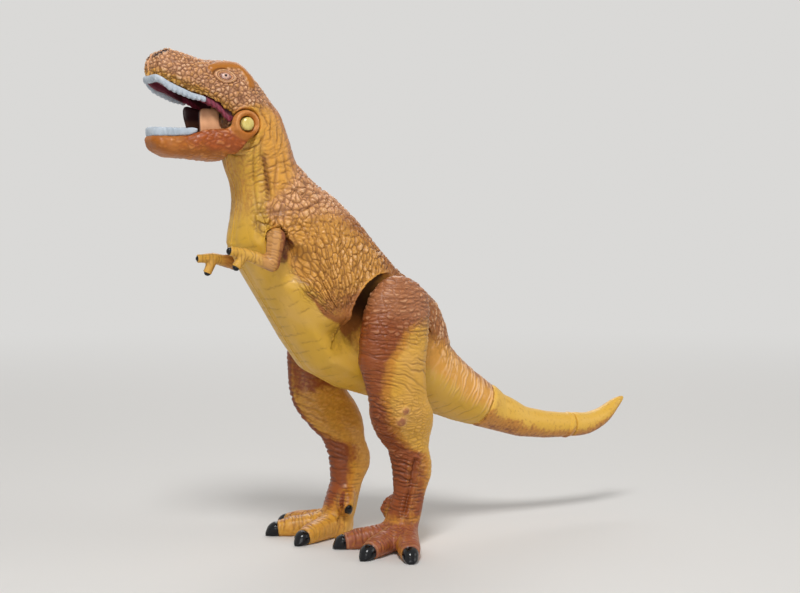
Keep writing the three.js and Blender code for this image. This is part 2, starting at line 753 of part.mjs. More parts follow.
function jawStation(row, inset, floorRise) {
  const top = bodyPoint([row.along, row.top]).z + (floorRise > 0 ? cutOverrun : 0);
  const low = bodyPoint([row.along, row.low]).z + floorRise;
  return {
    centre: new THREE.Vector3(bodyPoint([row.along, 0]).x, 0, (top + low) / 2),
    across: new THREE.Vector3(0, row.width * bodyWidth - inset, 0),
    along: new THREE.Vector3(0, 0, (top - low) / 2),
    power: floorRise > 0 ? boxyPower : jawPower,
  };
}

function jawInside(inset) {
  return solidOf(loft(jawShares.slice(1).map((row) => jawStation(row, inset, inset)), bodySides, 1));
}

const slotFrontShare = -0.7;

function lowerJaw() {
  const half = lugHalfWidth + runGap + lobeThickness;
  const outer = solidOf(loft(jawShares.map((row) => jawStation(row, 0, 0)), bodySides, 1));
  const view = sidePlate(jawSideShares.map(bodyPoint), -half, half);
  const lobes = bar(jawPin.clone().setY(-half), jawPin.clone().setY(half), jawLobeRadius);
  const lugSlot = block(
    new THREE.Vector3(slotFrontShare * noseReach, -lugHalfWidth - runGap, hipHeight),
    new THREE.Vector3(0, lugHalfWidth + runGap, hipHeight + headRise),
  );
  const bore = bar(
    jawPin.clone().setY(-half - cutOverrun),
    jawPin.clone().setY(half + cutOverrun),
    jawPinRadius + glueGap,
  );
  return outer.intersect(view).add(lobes).subtract(jawInside(jawWall)).subtract(lugSlot).subtract(bore);
}

function jawPinSolid() {
  const half = lugHalfWidth + runGap + lobeThickness;
  const shaft = bar(jawPin.clone().setY(-half), jawPin.clone().setY(half), jawPinRadius);
  const domes = [-1, 1].map((side) =>
    ellipsoid(jawPin.clone().setY(side * half), jawPinRadius, jawPinDome, jawPinRadius));
  return join([shaft, ...domes]);
}

// A strip of teeth: a low wall along a U-shaped path, thinning at both ends.
const toothEndShare = 0.55;
const lipShare = 0.1;

function toothStrip(path, thickness, height, direction) {
  const curve = new THREE.CatmullRomCurve3(path);
  const steps = path.length * 2;
  const stations = [];
  for (let step = 0; step <= steps; step += 1) {
    const place = step / steps;
    const centre = curve.getPoint(place);
    const tangent = curve.getTangent(place);
    const across = new THREE.Vector3().crossVectors(tangent, upwards).normalize();
    const taper = toothEndShare + (1 - toothEndShare) * Math.sin(Math.PI * place);
    stations.push({
      centre: centre.addScaledVector(upwards, (direction * height * taper) / 2),
      across: across.multiplyScalar(thickness / 2),
      along: upwards.clone().multiplyScalar((height * taper) / 2),
      power: toothPower,
    });
  }
  return solidOf(loft(stations, smallSides, 1));
}

function toothPath(rows, edge, inset, rise) {
  const sideOf = (side) => rows.map((row) => {
    const point = bodyPoint([row.along, row[edge]]);
    return new THREE.Vector3(point.x, side * (row.width * bodyWidth - inset), point.z + rise);
  });
  const tip = rows[0];
  const front = bodyPoint([tip.along, tip[edge]]);
  front.z += rise;
  front.x -= inset / 2;
  return [...sideOf(-1).reverse(), front, ...sideOf(1)];
}

const upperToothRows = mouthShares.slice(0, 4);
const lowerToothRows = jawShares.slice(1, 4);

function upperTeeth() {
  const inset = lipShare * skullWall + toothThickness / 2;
  const path = toothPath(upperToothRows, "rim", inset, -toothSeat);
  return toothStrip(path, toothThickness, upperToothHeight, -1);
}

function lowerTeeth() {
  const path = toothPath(lowerToothRows, "top", toothThickness, toothSeat / 2);
  return toothStrip(path, toothThickness, lowerToothHeight, 1);
}

// The palate: a thin vault in the mouth's hollow, with its gum edge just below the skull's rim.
function palate() {
  const rim = mouthShares.map((row) => bodyPoint([row.along, row.rim]));
  rim.forEach((point) => point.setZ(point.z - gumDrop));
  const high = hipHeight + headRise + cutOverrun;
  rim[0].x += toothThickness + toothSeat;
  const above = [...rim, rim[rim.length - 1].clone().setZ(high), rim[0].clone().setZ(high)];
  return mouthHollow(glueGap, cutOverrun)
    .subtract(mouthHollow(glueGap + palateWall, cutOverrun))
    .intersect(sidePlate(above, -bodyWidth, bodyWidth));
}

// Mouth floor: a plate in the jaw with a tongue, and two cheek walls that slide up inside the palate.
const cheekShares = [
  [-0.802, 0.641],
  [-0.802, 0.772],
  [-0.790, 0.786],
  [-0.725, 0.786],
  [-0.716, 0.641],
];
const floorRows = jawShares.slice(2, 6);
const tongueShares = { back: [-0.720, 0.655], tip: [-0.900, 0.655], width: 0.55 };

function mouthFloor() {
  const cheeks = [-1, 1].map((side) =>
    sidePlate(cheekShares.map(bodyPoint), side * (cheekHalfGap - cheekWall), side * cheekHalfGap));
  const seatRise = jawWall + glueGap;
  const floorTop = floorRows.map((row) => {
    const point = bodyPoint([row.along, row.low]);
    return point.setZ(point.z + seatRise + floorThickness);
  });
  const below = [...floorTop, ...floorTop.slice().reverse().map((point) => point.clone().setZ(hipHeight))];
  const plate = jawInside(seatRise).intersect(sidePlate(below, -bodyWidth, bodyWidth));
  const tongueBack = bodyPoint(tongueShares.back);
  const tongueTip = bodyPoint(tongueShares.tip);
  const tongue = ellipsoid(
    tongueBack.clone().add(tongueTip).divideScalar(2),
    tongueBack.distanceTo(tongueTip) / 2,
    cheekHalfGap * tongueShares.width,
    floorThickness,
  );
  return join([...cheeks, plate, tongue]);
}

// Tail middle and tip: round rings along a curve, in shares of their lengths and radii.
const tailAcross = sideways.clone();
const tailUp = new THREE.Vector3().crossVectors(tailAxis, tailAcross).normalize();
const tailMidShares = [
  { along: 0, rise: 0, radius: 1.00 },
  { along: 0.03, rise: 0, radius: 1.04 },
  { along: 0.19, rise: -0.003, radius: 0.83 },
  { along: 0.47, rise: 0.038, radius: 0.73 },
  { along: 0.73, rise: 0.120, radius: 0.65 },
  { along: 0.91, rise: 0.194, radius: 0.60 },
  { along: 0.985, rise: 0.229, radius: 0.60 },
];
const tailTipShares = [
  { along: 0, rise: 0, radius: 1.00 },
  { along: 0.14, rise: 0.000, radius: 0.98 },
  { along: 0.28, rise: 0.006, radius: 0.92 },
  { along: 0.42, rise: 0.042, radius: 0.84 },
  { along: 0.57, rise: 0.100, radius: 0.75 },
  { along: 0.73, rise: 0.190, radius: 0.63 },
  { along: 0.87, rise: 0.285, radius: 0.50 },
  { along: 0.95, rise: 0.338, radius: 0.34 },
  { along: 0.985, rise: 0.360, radius: 0.14 },
];

function ringsAlong(rows, origin, axis, up, length, radius) {
  const centres = rows.map((row) =>
    origin.clone().addScaledVector(axis, row.along * length).addScaledVector(up, row.rise * length));
  return rows.map((row, place) => {
    const before = centres[Math.max(0, place - 1)];
    const after = centres[Math.min(rows.length - 1, place + 1)];
    const heading = place === 0 ? axis.clone() : after.clone().sub(before).normalize();
    const along = new THREE.Vector3().crossVectors(heading, tailAcross).normalize();
    return {
      centre: centres[place],
      across: tailAcross.clone().multiplyScalar(row.radius * radius),
      along: along.multiplyScalar(row.radius * radius),
      power: roundPower,
    };
  });
}

const tailMidStart = tailCentre.clone().addScaledVector(tailAxis, runGap);
const tailMidStations = ringsAlong(
  tailMidShares, tailMidStart, tailAxis, tailUp, tailMidLength, tailMidRadius,
);
const lastMid = tailMidStations[tailMidStations.length - 1];
const tipAxis = tailAcross.clone().cross(lastMid.along).normalize().negate();
const tipSign = Math.sign(tipAxis.x) || 1;
tipAxis.multiplyScalar(tipSign);
const tipCentre = lastMid.centre.clone();
const tipUp = new THREE.Vector3().crossVectors(tipAxis, tailAcross).normalize();

function tipPin(grow) {
  const half = tipPinLength / 2;
  return bar(
    tipCentre.clone().addScaledVector(tipAxis, -half - grow),
    tipCentre.clone().addScaledVector(tipAxis, half + grow),
    tipPinRadius + grow,
    tipPinRadius + grow,
    limbSides,
  );
}

function tailMid() {
  return solidOf(loft(tailMidStations, roundSides, 1)).add(tailPeg(0)).subtract(tipPin(runGap));
}

function tailTip() {
  const start = tipCentre.clone().addScaledVector(tipAxis, runGap);
  const stations = ringsAlong(tailTipShares, start, tipAxis, tipUp, tailTipLength, tailTipRadius);
  return solidOf(loft(stations, roundSides, 1)).subtract(tipPin(glueGap));
}

// The figure.
const figure = new THREE.Group();
const pieces = [
  meshOf("torso_shell_left", torsoShell(-1), ochre, paintedRoughness),
  meshOf("torso_shell_right", torsoShell(1), ochre, paintedRoughness),
  meshOf("palate", palate(), maroon, liningRoughness),
  meshOf("upper_teeth", upperTeeth(), toothGrey, toothRoughness),
  meshOf("lower_jaw", lowerJaw(), jawOrange, paintedRoughness),
  meshOf("lower_teeth", lowerTeeth(), toothGrey, toothRoughness),
  meshOf("mouth_floor", mouthFloor(), peach, liningRoughness),
  meshOf("jaw_pin", jawPinSolid(), cream, pinRoughness),
  meshOf("left_arm", arm(-1, 0), ochre, paintedRoughness),
  meshOf("right_arm", arm(1, farArmDrop), ochre, paintedRoughness),
  meshOf("left_leg", leg(-1, 0), brown, paintedRoughness),
  meshOf("right_leg", leg(1, stride), brown, paintedRoughness),
  meshOf("left_hip_pivot", hipPivot(-1), darkPlastic, liningRoughness),
  meshOf("right_hip_pivot", hipPivot(1), darkPlastic, liningRoughness),
  meshOf("tail_mid", tailMid(), tailYellow, paintedRoughness),
  meshOf("tail_tip", tailTip(), tailYellow, paintedRoughness),
  meshOf("tail_tip_pin", tipPin(0), cream, toothRoughness),
];
pieces.forEach((piece) => figure.add(piece));

// The origin: under the middle of the figure, on the floor.
const reach = new THREE.Box3().setFromObject(figure);
figure.position.set(-(reach.min.x + reach.max.x) / 2, -(reach.min.y + reach.max.y) / 2, -reach.min.z);
figure.userData.joints = { hipCentre, jawPin, shoulderPlace, tailCentre, tailAxis, tipCentre, tipAxis };

export default figure;
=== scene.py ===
# %% [markdown]
# # A moulded toy dinosaur, dressed around its CAD frame
# The real figure is a painted PVC moulding: two hollow body shells, a pinned jaw, pegged arms and legs,
# and a tail in two turning lengths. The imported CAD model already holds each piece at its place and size.
# This lesson adds what a toy sculptor and a painter add afterwards: cracked hide, folds, claws, an eye
# and airbrushed colour.

# %% Load the frame
import itertools
import math

import bpy
import numpy as np
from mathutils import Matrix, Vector


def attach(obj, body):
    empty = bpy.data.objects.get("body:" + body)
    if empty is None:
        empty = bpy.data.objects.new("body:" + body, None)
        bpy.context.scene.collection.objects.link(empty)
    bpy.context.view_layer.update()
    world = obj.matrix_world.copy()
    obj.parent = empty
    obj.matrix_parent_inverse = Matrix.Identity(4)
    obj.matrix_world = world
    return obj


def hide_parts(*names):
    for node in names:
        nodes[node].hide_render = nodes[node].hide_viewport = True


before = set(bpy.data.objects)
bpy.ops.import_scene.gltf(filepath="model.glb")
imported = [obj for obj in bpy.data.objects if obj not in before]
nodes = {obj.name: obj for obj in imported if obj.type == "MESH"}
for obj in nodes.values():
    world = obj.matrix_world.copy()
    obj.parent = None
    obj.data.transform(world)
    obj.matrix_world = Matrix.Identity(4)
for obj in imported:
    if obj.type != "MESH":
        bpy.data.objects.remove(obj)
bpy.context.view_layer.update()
mm = 0.001
SIDES = ("left", "right")
OUTWARD = {"left": -1, "right": 1}
print("pieces in the frame:", len(nodes))

# %% [markdown]
# ## Camera
# The photograph looks at the animal's left side, 32 degrees towards its front, from about 36 cm away and
# slightly downwards. The lens is a short telephoto on a full-frame sensor.

# %% Camera
camera_place_mm = (-195.06, -307.0, 78.35)
camera_turn_degrees = 32
camera_dip_degrees = 2.82
camera_lens_mm = 65.25
full_frame_width_mm = 36
camera = bpy.data.objects.new("camera", bpy.data.cameras.new("camera"))
bpy.context.scene.collection.objects.link(camera)
camera.location = Vector(camera_place_mm) * mm
camera.rotation_euler = (math.radians(90 - camera_dip_degrees), 0, math.radians(-camera_turn_degrees))
camera.data.lens = camera_lens_mm
camera.data.sensor_width = full_frame_width_mm
camera.data.clip_start = 0.01
bpy.context.scene.camera = camera
bpy.context.scene.view_settings.view_transform = "Standard"

# %% [markdown]
# ## Repeatable noise
# Hide is irregular, yet the script has to give the same figure each time. Every random number here comes
# from whole-number lattice points through a small hash, so nothing depends on a seed or on the clock.

# %% Lattice noise
CORNERS = list(itertools.product((0, 1), repeat=3))
NEIGHBOURS = list(itertools.product((-1, 0, 1), repeat=3))
HASH_FACTORS = (73856093, 19349663, 83492791)
HASH_SEED_FACTOR = 668265263
HASH_MIX = 1274126177
WORD = 0xFFFFFFFF


def columns(*values):
    """Several numbers per point, side by side."""
    return np.stack(values, axis=1)


def lattice(cells, seed):
    """A number from 0 to 1 for each whole-number point."""
    x, y, z = (cells[:, k] * HASH_FACTORS[k] for k in range(3))
    bits = (x ^ y ^ z ^ (seed * HASH_SEED_FACTOR)) & WORD
    for shift in (15, 13, 16):
        bits = ((bits ^ (bits >> shift)) * HASH_MIX) & WORD
    return bits / WORD


def noise(points, size, seed=0):
    """Smooth noise from -1 to 1 with lumps of the given size."""
    scaled = points / size
    base = np.floor(scaled).astype(np.int64)
    part = scaled - base
    part = part * part * (3 - 2 * part)
    total = np.zeros(len(points))
    for corner in CORNERS:
        weight = np.prod(np.where(corner, part, 1 - part), axis=1)
        total += weight * lattice(base + corner, seed)
    return total * 2 - 1


def wander(points, size, reach, seed=0):
    """Points pushed about by noise, so that straight patterns run wavy."""
    return points + reach * columns(*(noise(points, size, seed + 11 * k) for k in range(3)))


# %% [markdown]
# ## Two hide patterns
# Reptile hide is either cells parted by creases or folds that run on and die out. Each point belongs to
# the nearest seat of a scatter, and the borders between seats are the creases, measured in millimetres so
# that a crease keeps its width on long cells too. Folds are rows of wavy lines that fade in and out.

# %% Cells and folds
FAR = 9.0
SEAT_JITTER = 0.8
FOLD_ROW_STEP = 57.0


def hide_cells(points, size, seed=0):
    """Distance in mm to the nearest border between two cells, and a number from 0 to 1 for each cell."""
    size = np.asarray(size, float) * np.ones(3)
    scaled = points / size
    base = np.floor(scaled).astype(np.int64)
    own = np.zeros_like(scaled)
    tone = np.zeros(len(points))
    nearest = np.full(len(points), FAR)
    seats = []
    for step in NEIGHBOURS:
        cell = base + step
        seat = cell + 0.5 + SEAT_JITTER * (columns(*(lattice(cell, seed + k) for k in (1, 2, 3))) - 0.5)
        gap = np.sum((seat - scaled) ** 2, axis=1)
        closer = gap < nearest
        own[closer] = seat[closer]
        tone[closer] = lattice(cell[closer], seed + 4)
        nearest = np.minimum(nearest, gap)
        seats.append(seat)
    border = np.full(len(points), FAR)
    for seat in seats:
        apart = seat - own
        slope = np.linalg.norm(apart / size, axis=1)
        half_way = np.sum(apart * (seat + own - 2 * scaled), axis=1) / 2
        border = np.minimum(border, np.where(slope > 1e-6, half_way / np.maximum(slope, 1e-6), FAR))
    return border, tone


def ramp(value, low, high):
    """0 below low, 1 above high and smooth between; low may be the larger."""
    share = np.clip((value - low) / (high - low), 0, 1)
    return share * share * (3 - 2 * share)


def between(value, start, full, full_end, end):
    """1 from full to full_end, fading to 0 at start and at end."""
    return ramp(value, start, full) * ramp(value, end, full_end)


def crease(border, width):
    """1 in a crease and 0 on the cells, from hide_cells or from a distance."""
    return np.exp(-((border / width) ** 2))


def folds(run, rise, pitch, length, width, seed=0, wave=0.38, shown=0.0):
    """Wavy creases about one pitch apart, 1 in a crease, that fade out along their run."""
    row = np.round(rise / pitch)
    total = np.zeros(len(rise))
    for step in (-1, 0, 1):
        line = row + step
        place = np.column_stack([run, line * FOLD_ROW_STEP])
        if place.shape[1] < 3:
            place = np.column_stack([place, np.zeros(len(rise))])
        height = (line + wave * noise(place, length * 0.45, seed)) * pitch
        strength = ramp(noise(place, length, seed + 5), shown - 0.45, shown + 0.25)
        total = np.maximum(total, strength * crease(rise - height, width))
    return total


# %% [markdown]
# ## Lines and outlines
# A fold, a lip or the edge of a pocket is a broken line, and how far a point lies from it decides what
# the sculptor does there.

# %% Distances
def line_distance(points, line):
    """Distance from each point to a broken line, in two or three dimensions."""
    line = np.asarray(line, float)
    nearest = np.full(len(points), 1e9)
    for start, end in zip(line[:-1], line[1:]):
        way = end - start
        share = np.clip(((points - start) @ way) / (way @ way), 0, 1)
        gap = np.linalg.norm(points - start - share[:, None] * way, axis=1)
        nearest = np.minimum(nearest, gap)
    return nearest


def follow(line, place):
    """The second number of a line's rows, read off at a place given by their first number."""
    return np.interp(place, [row[0] for row in line], [row[1] for row in line])


def height_over(line, x, z):
    """How far a place lies above a line that is given by its x and z."""
    return z - follow(line, x)


def inside_outline(side_view, outline):
    """True where a place in the side view lies in a closed outline."""
    x, z = side_view.T
    result = np.zeros(len(x), bool)
    for (x1, z1), (x2, z2) in zip(outline, outline[1:] + outline[:1]):
        crosses = (z1 > z) != (z2 > z)
        if z1 != z2:
            result ^= crosses & (x < (x2 - x1) * (z - z1) / (z2 - z1) + x1)
    return result


def fan_outline(centre, radius, shares):
    """Places round a centre; angles count from straight up to the nose, and shares follow the radius."""
    return [(centre[0] - share * radius * math.sin(math.radians(degrees)),
             centre[1] + share * radius * math.cos(math.radians(degrees))) for degrees, share in shares]


def turn_about(centre, x, z):
    """Degrees from straight up, towards the nose, from -180 to 180."""
    return np.degrees(np.arctan2(centre[0] - x, z - centre[1]))


# %% [markdown]
# ## Mesh helpers
# A modifier is applied the moment it is set, as a modeller would do by hand, because each later step
# needs the real points. Points are handled in millimetres and written back in metres.

# %% Mesh helpers
def select_only(piece):
    bpy.ops.object.select_all(action="DESELECT")
    piece.select_set(True)
    bpy.context.view_layer.objects.active = piece


def apply_modifier(piece, kind, **settings):
    modifier = piece.modifiers.new(kind.title(), kind)
    for name, value in settings.items():
        setattr(modifier, name, value)
    select_only(piece)
    bpy.ops.object.modifier_apply(modifier=modifier.name)


def read_numbers(items, name, width=3, kind=np.float32):
    """One property of all of a mesh's points or faces, as rows of numbers."""
    flat = np.empty(len(items) * width, kind)
    items.foreach_get(name, flat)
    return flat.reshape(-1, width).astype(float)


def read_points(piece):
    return read_numbers(piece.data.vertices, "co") / mm


def read_shape(piece):
    return read_points(piece), read_numbers(piece.data.vertex_normals, "vector")


def write_points(piece, points):
    piece.data.vertices.foreach_set("co", (points * mm).astype(np.float32).ravel())
    piece.data.update()


def keep_values(piece, **values):
    """Stores one number per point under each name, for the materials to read."""
    for name, value in values.items():
        attribute = piece.data.attributes.new(name, "FLOAT", "POINT")
        attribute.data.foreach_set("value", np.asarray(value, np.float32))


def shares(values):
    """The same named numbers, none below 0 or above 1."""
    return {name: np.clip(value, 0, 1) for name, value in values.items()}


# %% [markdown]
# ## Clay from the CAD solids
# The CAD solids are faceted, and a sculpted hide needs thousands of small even faces. A voxel remesh of a
# copy gives them without moving the surface. The facets are then relaxed: where averaging moves a point
# only a little it was a facet and is smoothed, and where it moves it far it was a real edge and is kept.

# %% Clay helpers
FACET_DEPTH_MM = 0.3
EDGE_DEPTH_MM = 0.75
WELD_MM = 0.002


def clay_from(node, name, voxel_mm):
    """An even quad copy of a CAD node."""
    piece = bpy.data.objects.new(name, nodes[node].data.copy())
    bpy.context.scene.collection.objects.link(piece)
    piece.data.name = name
    piece.data.materials.clear()
    select_only(piece)
    bpy.ops.object.mode_set(mode="EDIT")
    bpy.ops.mesh.select_all(action="SELECT")
    bpy.ops.mesh.remove_doubles(threshold=WELD_MM * mm)
    bpy.ops.object.mode_set(mode="OBJECT")
    apply_modifier(piece, "REMESH", mode="VOXEL", voxel_size=voxel_mm * mm)
    return piece


def averaged(piece, values, rounds):
    """Any three numbers per point, averaged with their neighbours by the Smooth modifier."""
    before = read_points(piece)
    write_points(piece, values)
    apply_modifier(piece, "SMOOTH", factor=0.5, iterations=rounds)
    result = read_points(piece)
    write_points(piece, before)
    return result


def relax(piece, voxel_mm, spread_mm, amount=None, edges=True):
    """Takes the facets out and keeps the volume and, if asked, the real edges."""
    rounds = max(1, round(4 * (spread_mm / voxel_mm) ** 2))
    points = read_points(piece)
    move = averaged(piece, points, rounds) - points
    if edges:
        depth = np.linalg.norm(move, axis=1)
        move *= ramp(depth, EDGE_DEPTH_MM, FACET_DEPTH_MM)[:, None]
    if amount is not None:
        move *= amount(points)[:, None]
    move -= averaged(piece, move, rounds)
    write_points(piece, points + move)


def soft_clay(node, name, voxel_mm, spread_mm, edges=True):
    """The relaxed clay of a small CAD node, with its points and its normals."""
    piece = clay_from(node, name, voxel_mm)
    relax(piece, voxel_mm, spread_mm, edges=edges)
    return piece, *read_shape(piece)


def refine(piece, chosen):
    """Splits the faces whose middle and normal are chosen into four."""
    faces = piece.data.polygons
    picked = chosen(read_numbers(faces, "center") / mm, read_numbers(faces, "normal"))
    select_only(piece)
    bpy.context.tool_settings.mesh_select_mode = (False, False, True)
    bpy.ops.object.mode_set(mode="EDIT")
    bpy.ops.mesh.select_all(action="DESELECT")
    bpy.ops.object.mode_set(mode="OBJECT")
    piece.data.polygons.foreach_set("select", picked)
    bpy.ops.object.mode_set(mode="EDIT")
    bpy.ops.mesh.subdivide(number_cuts=1, smoothness=0)
    bpy.ops.object.mode_set(mode="OBJECT")


def finish_piece(piece, body, material, replaced=()):
    """Smooth shading, the material, and the piece's place in the frame."""
    faces = piece.data.polygons
    faces.foreach_set("use_smooth", np.ones(len(faces), bool))
    piece.data.materials.append(material)
    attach(piece, body)
    if replaced:
        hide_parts(*replaced)
    print(piece.name, "triangles", int(np.sum(read_numbers(faces, "loop_total", 1, np.int32) - 2)))


# %% [markdown]
# ## Painted PVC
# The toy is soft PVC in an ochre base colour. Brown is sprayed over the back, the creases are darkened as
# painted shade, and the claws are brushed gloss black. Satin paint gives broad soft lights with small bright
# ones on the ridges, and the ridges also carry a painted highlight. The masks are numbers kept on the
# points, so that paint and painted light and shade follow the sculpture, and fine noise breaks their edges
# up as spray does.

# %% Material helpers
def linear(hex_colour):
    """An sRGB hex colour as linear red, green, blue and alpha."""
    parts = [((hex_colour >> shift) & 255) / 255 for shift in (16, 8, 0)]
    return (*[p / 12.92 if p <= 0.04045 else ((p + 0.055) / 1.055) ** 2.4 for p in parts], 1)


def add_node(tree, kind, settings=None, **links):
    """One shader node, with its settings, and its inputs given as values or as sockets to link."""
    node = tree.nodes.new(kind)
    for name, value in (settings or {}).items():
        setattr(node, name, value)
    for name, value in links.items():
        socket = node.inputs[int(name[1:])] if name[1:].isdigit() else node.inputs[name.replace("_", " ")]
        if isinstance(value, bpy.types.NodeSocket):
            tree.links.new(value, socket)
        else:
            socket.default_value = value
    return node


def new_material(name):
    material = bpy.data.materials.new(name)
    material.use_nodes = True
    material.node_tree.nodes.clear()
    return material, material.node_tree


def coated(tree, **links):
    """The surface of a material: its shader joined to the output."""
    shader = add_node(tree, "ShaderNodeBsdfPrincipled", **links)
    add_node(tree, "ShaderNodeOutputMaterial", Surface=shader.outputs["BSDF"])


def mixed(tree, share, under, over):
    """Colour mixed by a share; inputs 6 and 7 of the Mix node are its colours."""
    return add_node(tree, "ShaderNodeMix", {"data_type": "RGBA"}, i0=share, i6=under, i7=over).outputs[2]


def mixed_number(tree, share, under, over):
    """A number mixed by a share; inputs 2 and 3 of the Mix node are its numbers."""
    return add_node(tree, "ShaderNodeMix", {"data_type": "FLOAT"}, i0=share, i2=under, i3=over).outputs[0]


def kept(tree, name):
    return add_node(tree, "ShaderNodeAttribute", {"attribute_name": name}).outputs["Fac"]


def stepped(tree, value, low, high, to_low=0.0, to_high=1.0):
    settings = {"interpolation_type": "SMOOTHSTEP"}
    node = add_node(tree, "ShaderNodeMapRange", settings, i0=value, i1=low, i2=high, i3=to_low, i4=to_high)
    return node.outputs[0]


def grain(tree, size_mm, detail=3.0):
    """Noise from 0 to 1 with lumps of a real size."""
    place = add_node(tree, "ShaderNodeTexCoord").outputs["Object"]
    node = add_node(tree, "ShaderNodeTexNoise", Vector=place, Scale=1 / (size_mm * mm), Detail=detail)
    return node.outputs["Fac"]


def raised(tree, height, strength, depth_mm):
    """Fine relief in the shading only, for grain too small to model."""
    node = add_node(tree, "ShaderNodeBump", Strength=strength, Distance=depth_mm * mm, Height=height)
    return node.outputs["Normal"]


def plus(tree, first, second, operation="ADD"):
    return add_node(tree, "ShaderNodeMath", {"operation": operation}, i0=first, i1=second).outputs[0]


# %% Painted hide
CLAW_BLACK = linear(0x0A0B0F)
SHADOW = linear(0x220C0A)
SATIN_ROUGHNESS = (0.34, 0.46)
CLAW_ROUGHNESS = 0.18
PORE_STRENGTH = 0.3
PORE_MM = 0.3
PORE_DEPTH_MM = 0.05


def painted_hide(name, base, light, crease_shade, spray=0.16, claws=False, hollows=False, **coats):
    """Satin PVC paint: base, sprayed coats in order, painted ridge highlight, painted crease shade, painted
    hollow shadow, claws.
    """
    material, tree = new_material(name)
    fine = grain(tree, 0.8)
    broken = stepped(tree, fine, 0.25, 0.75, -spray, spray)
    colour = mixed(tree, stepped(tree, grain(tree, 9.0), 0.35, 0.75, 0.0, 0.15), linear(base), linear(light))
    for coat, tone in coats.items():
        share = stepped(tree, plus(tree, kept(tree, coat), broken), 0.08, 0.92)
        colour = mixed(tree, share, colour, linear(tone))
    # The light mask paints highlights on raised parts, deep paints shade in the creases, and dark paints
    # shadow in hollows.
    colour = mixed(tree, kept(tree, "light"), colour, linear(light))
    colour = mixed(tree, kept(tree, "deep"), colour, linear(crease_shade))
    if hollows:
        colour = mixed(tree, kept(tree, "dark"), colour, SHADOW)
    rough = stepped(tree, fine, 0.3, 0.7, *SATIN_ROUGHNESS)
    strength = PORE_STRENGTH
    if claws:
        claw = stepped(tree, kept(tree, "claw"), -0.05, 0.05)
        colour = mixed(tree, claw, colour, CLAW_BLACK)
        rough = mixed_number(tree, claw, rough, CLAW_ROUGHNESS)
        strength = mixed_number(tree, claw, PORE_STRENGTH, 0.0)
    pores = raised(tree, grain(tree, PORE_MM), strength, PORE_DEPTH_MM)
    coated(tree, Base_Color=colour, Roughness=rough, Normal=pores, IOR=1.5, Specular_IOR_Level=0.34)
    return material


# %% The figure's paints
# After the ochre base each paint gives its painted-highlight colour and its painted crease-shade colour,
# then its coats.
# Ochre PVC gives the yellow underside; warm, brown and blush are the sprayed coats seen on back and face.
body_paint = painted_hide("painted PVC body", 0xCEA034, 0xF2CCA4, 0x56290C, hollows=True, warm=0xD89A40,
                          brown=0x9E602A, blush=0xDCA276, brow=0xA8661A, flesh=0xDDA478, red=0x642A12)
# The legs carry a red-brown coat in front, over the same ochre, and gloss black claws.
leg_paint = painted_hide("painted PVC leg", 0xD8A23A, 0xE2B48C, 0x52240E, claws=True, warm=0xC0802A,
                         brown=0x8A4418, blush=0xAC7048, red=0x94503C)
# The jaw is moulded in a browner ochre, with an orange-brown coat on its cheek.
jaw_paint = painted_hide("painted PVC jaw", 0xA86018, 0xDC9C60, 0x5A280C, warm=0xA04C16, blush=0xC88448)
# The tail keeps the bare ochre on top, with brown speckled on from below by a coarse spray.
tail_paint = painted_hide("painted PVC tail", 0xDCAC42, 0xEECB7C, 0x784420, spray=0.34, warm=0xC4863A,
                          brown=0x8A4C26)
# The arms are a little pinker than the belly, with a brown shade behind and black nails.
arm_paint = painted_hide("painted PVC arm", 0xCE9E3C, 0xE0B48C, 0x64361A, claws=True, warm=0xBC8440,
                         brown=0x84442A)

# %% [markdown]
# ## The body's own coordinates
# Paint and folds follow the animal and not the room. Seen from the side, the outline of the back and the
# outline of throat and belly are two rows of places; how far a point lies from each tells how high on
# the body it is, from 0 at the belly to 1 at the back.

# %% Outlines of the back and the belly, in millimetres
BACK = [(-69.8, 114.8), (-65.3, 118.1), (-57.8, 116.1), (-50.1, 116.2), (-43.4, 110.8), (-38.1, 104.8),
        (-35.8, 99.0), (-34.0, 93.6), (-29.3, 89.0), (-23.6, 85.2), (-17.8, 80.0), (-12.5, 74.0),
        (-7.7, 68.9), (-3.2, 65.7), (1.4, 63.0), (5.3, 59.7), (7.7, 54.9), (8.9, 49.4), (13.4, 45.0),
        (18.7, 40.9), (23.5, 37.5)]
UNDER = [(-69.7, 111.6), (-52.3, 102.0), (-50.9, 95.4), (-50.2, 91.5), (-48.6, 87.5), (-48.1, 83.5),
         (-48.9, 79.0), (-49.7, 73.8), (-46.0, 67.3), (-40.6, 59.0), (-35.1, 50.4), (-30.1, 43.4),
         (-21.8, 38.9), (-13.2, 36.3), (-5.8, 34.3), (1.2, 32.2), (12.7, 28.3), (18.1, 26.9)]


def body_level(side_view):
    to_under = line_distance(side_view, UNDER)
    to_back = line_distance(side_view, BACK)
    return to_under / (to_under + to_back + 1e-6)


# %% [markdown]
# ## Hide of head, neck and trunk
# Small raised scales on the head, folds along the neck with short creases over them, cracked hide on the
# flank whose creases gather where the thigh meets the belly, and a nearly smooth belly with a few
# shallow grooves. Each is a pattern with its own mask, and the masks fade into each other. In all these
# formulas places and depths are millimetres, depth is positive outwards, and masks run from 0 to 1.

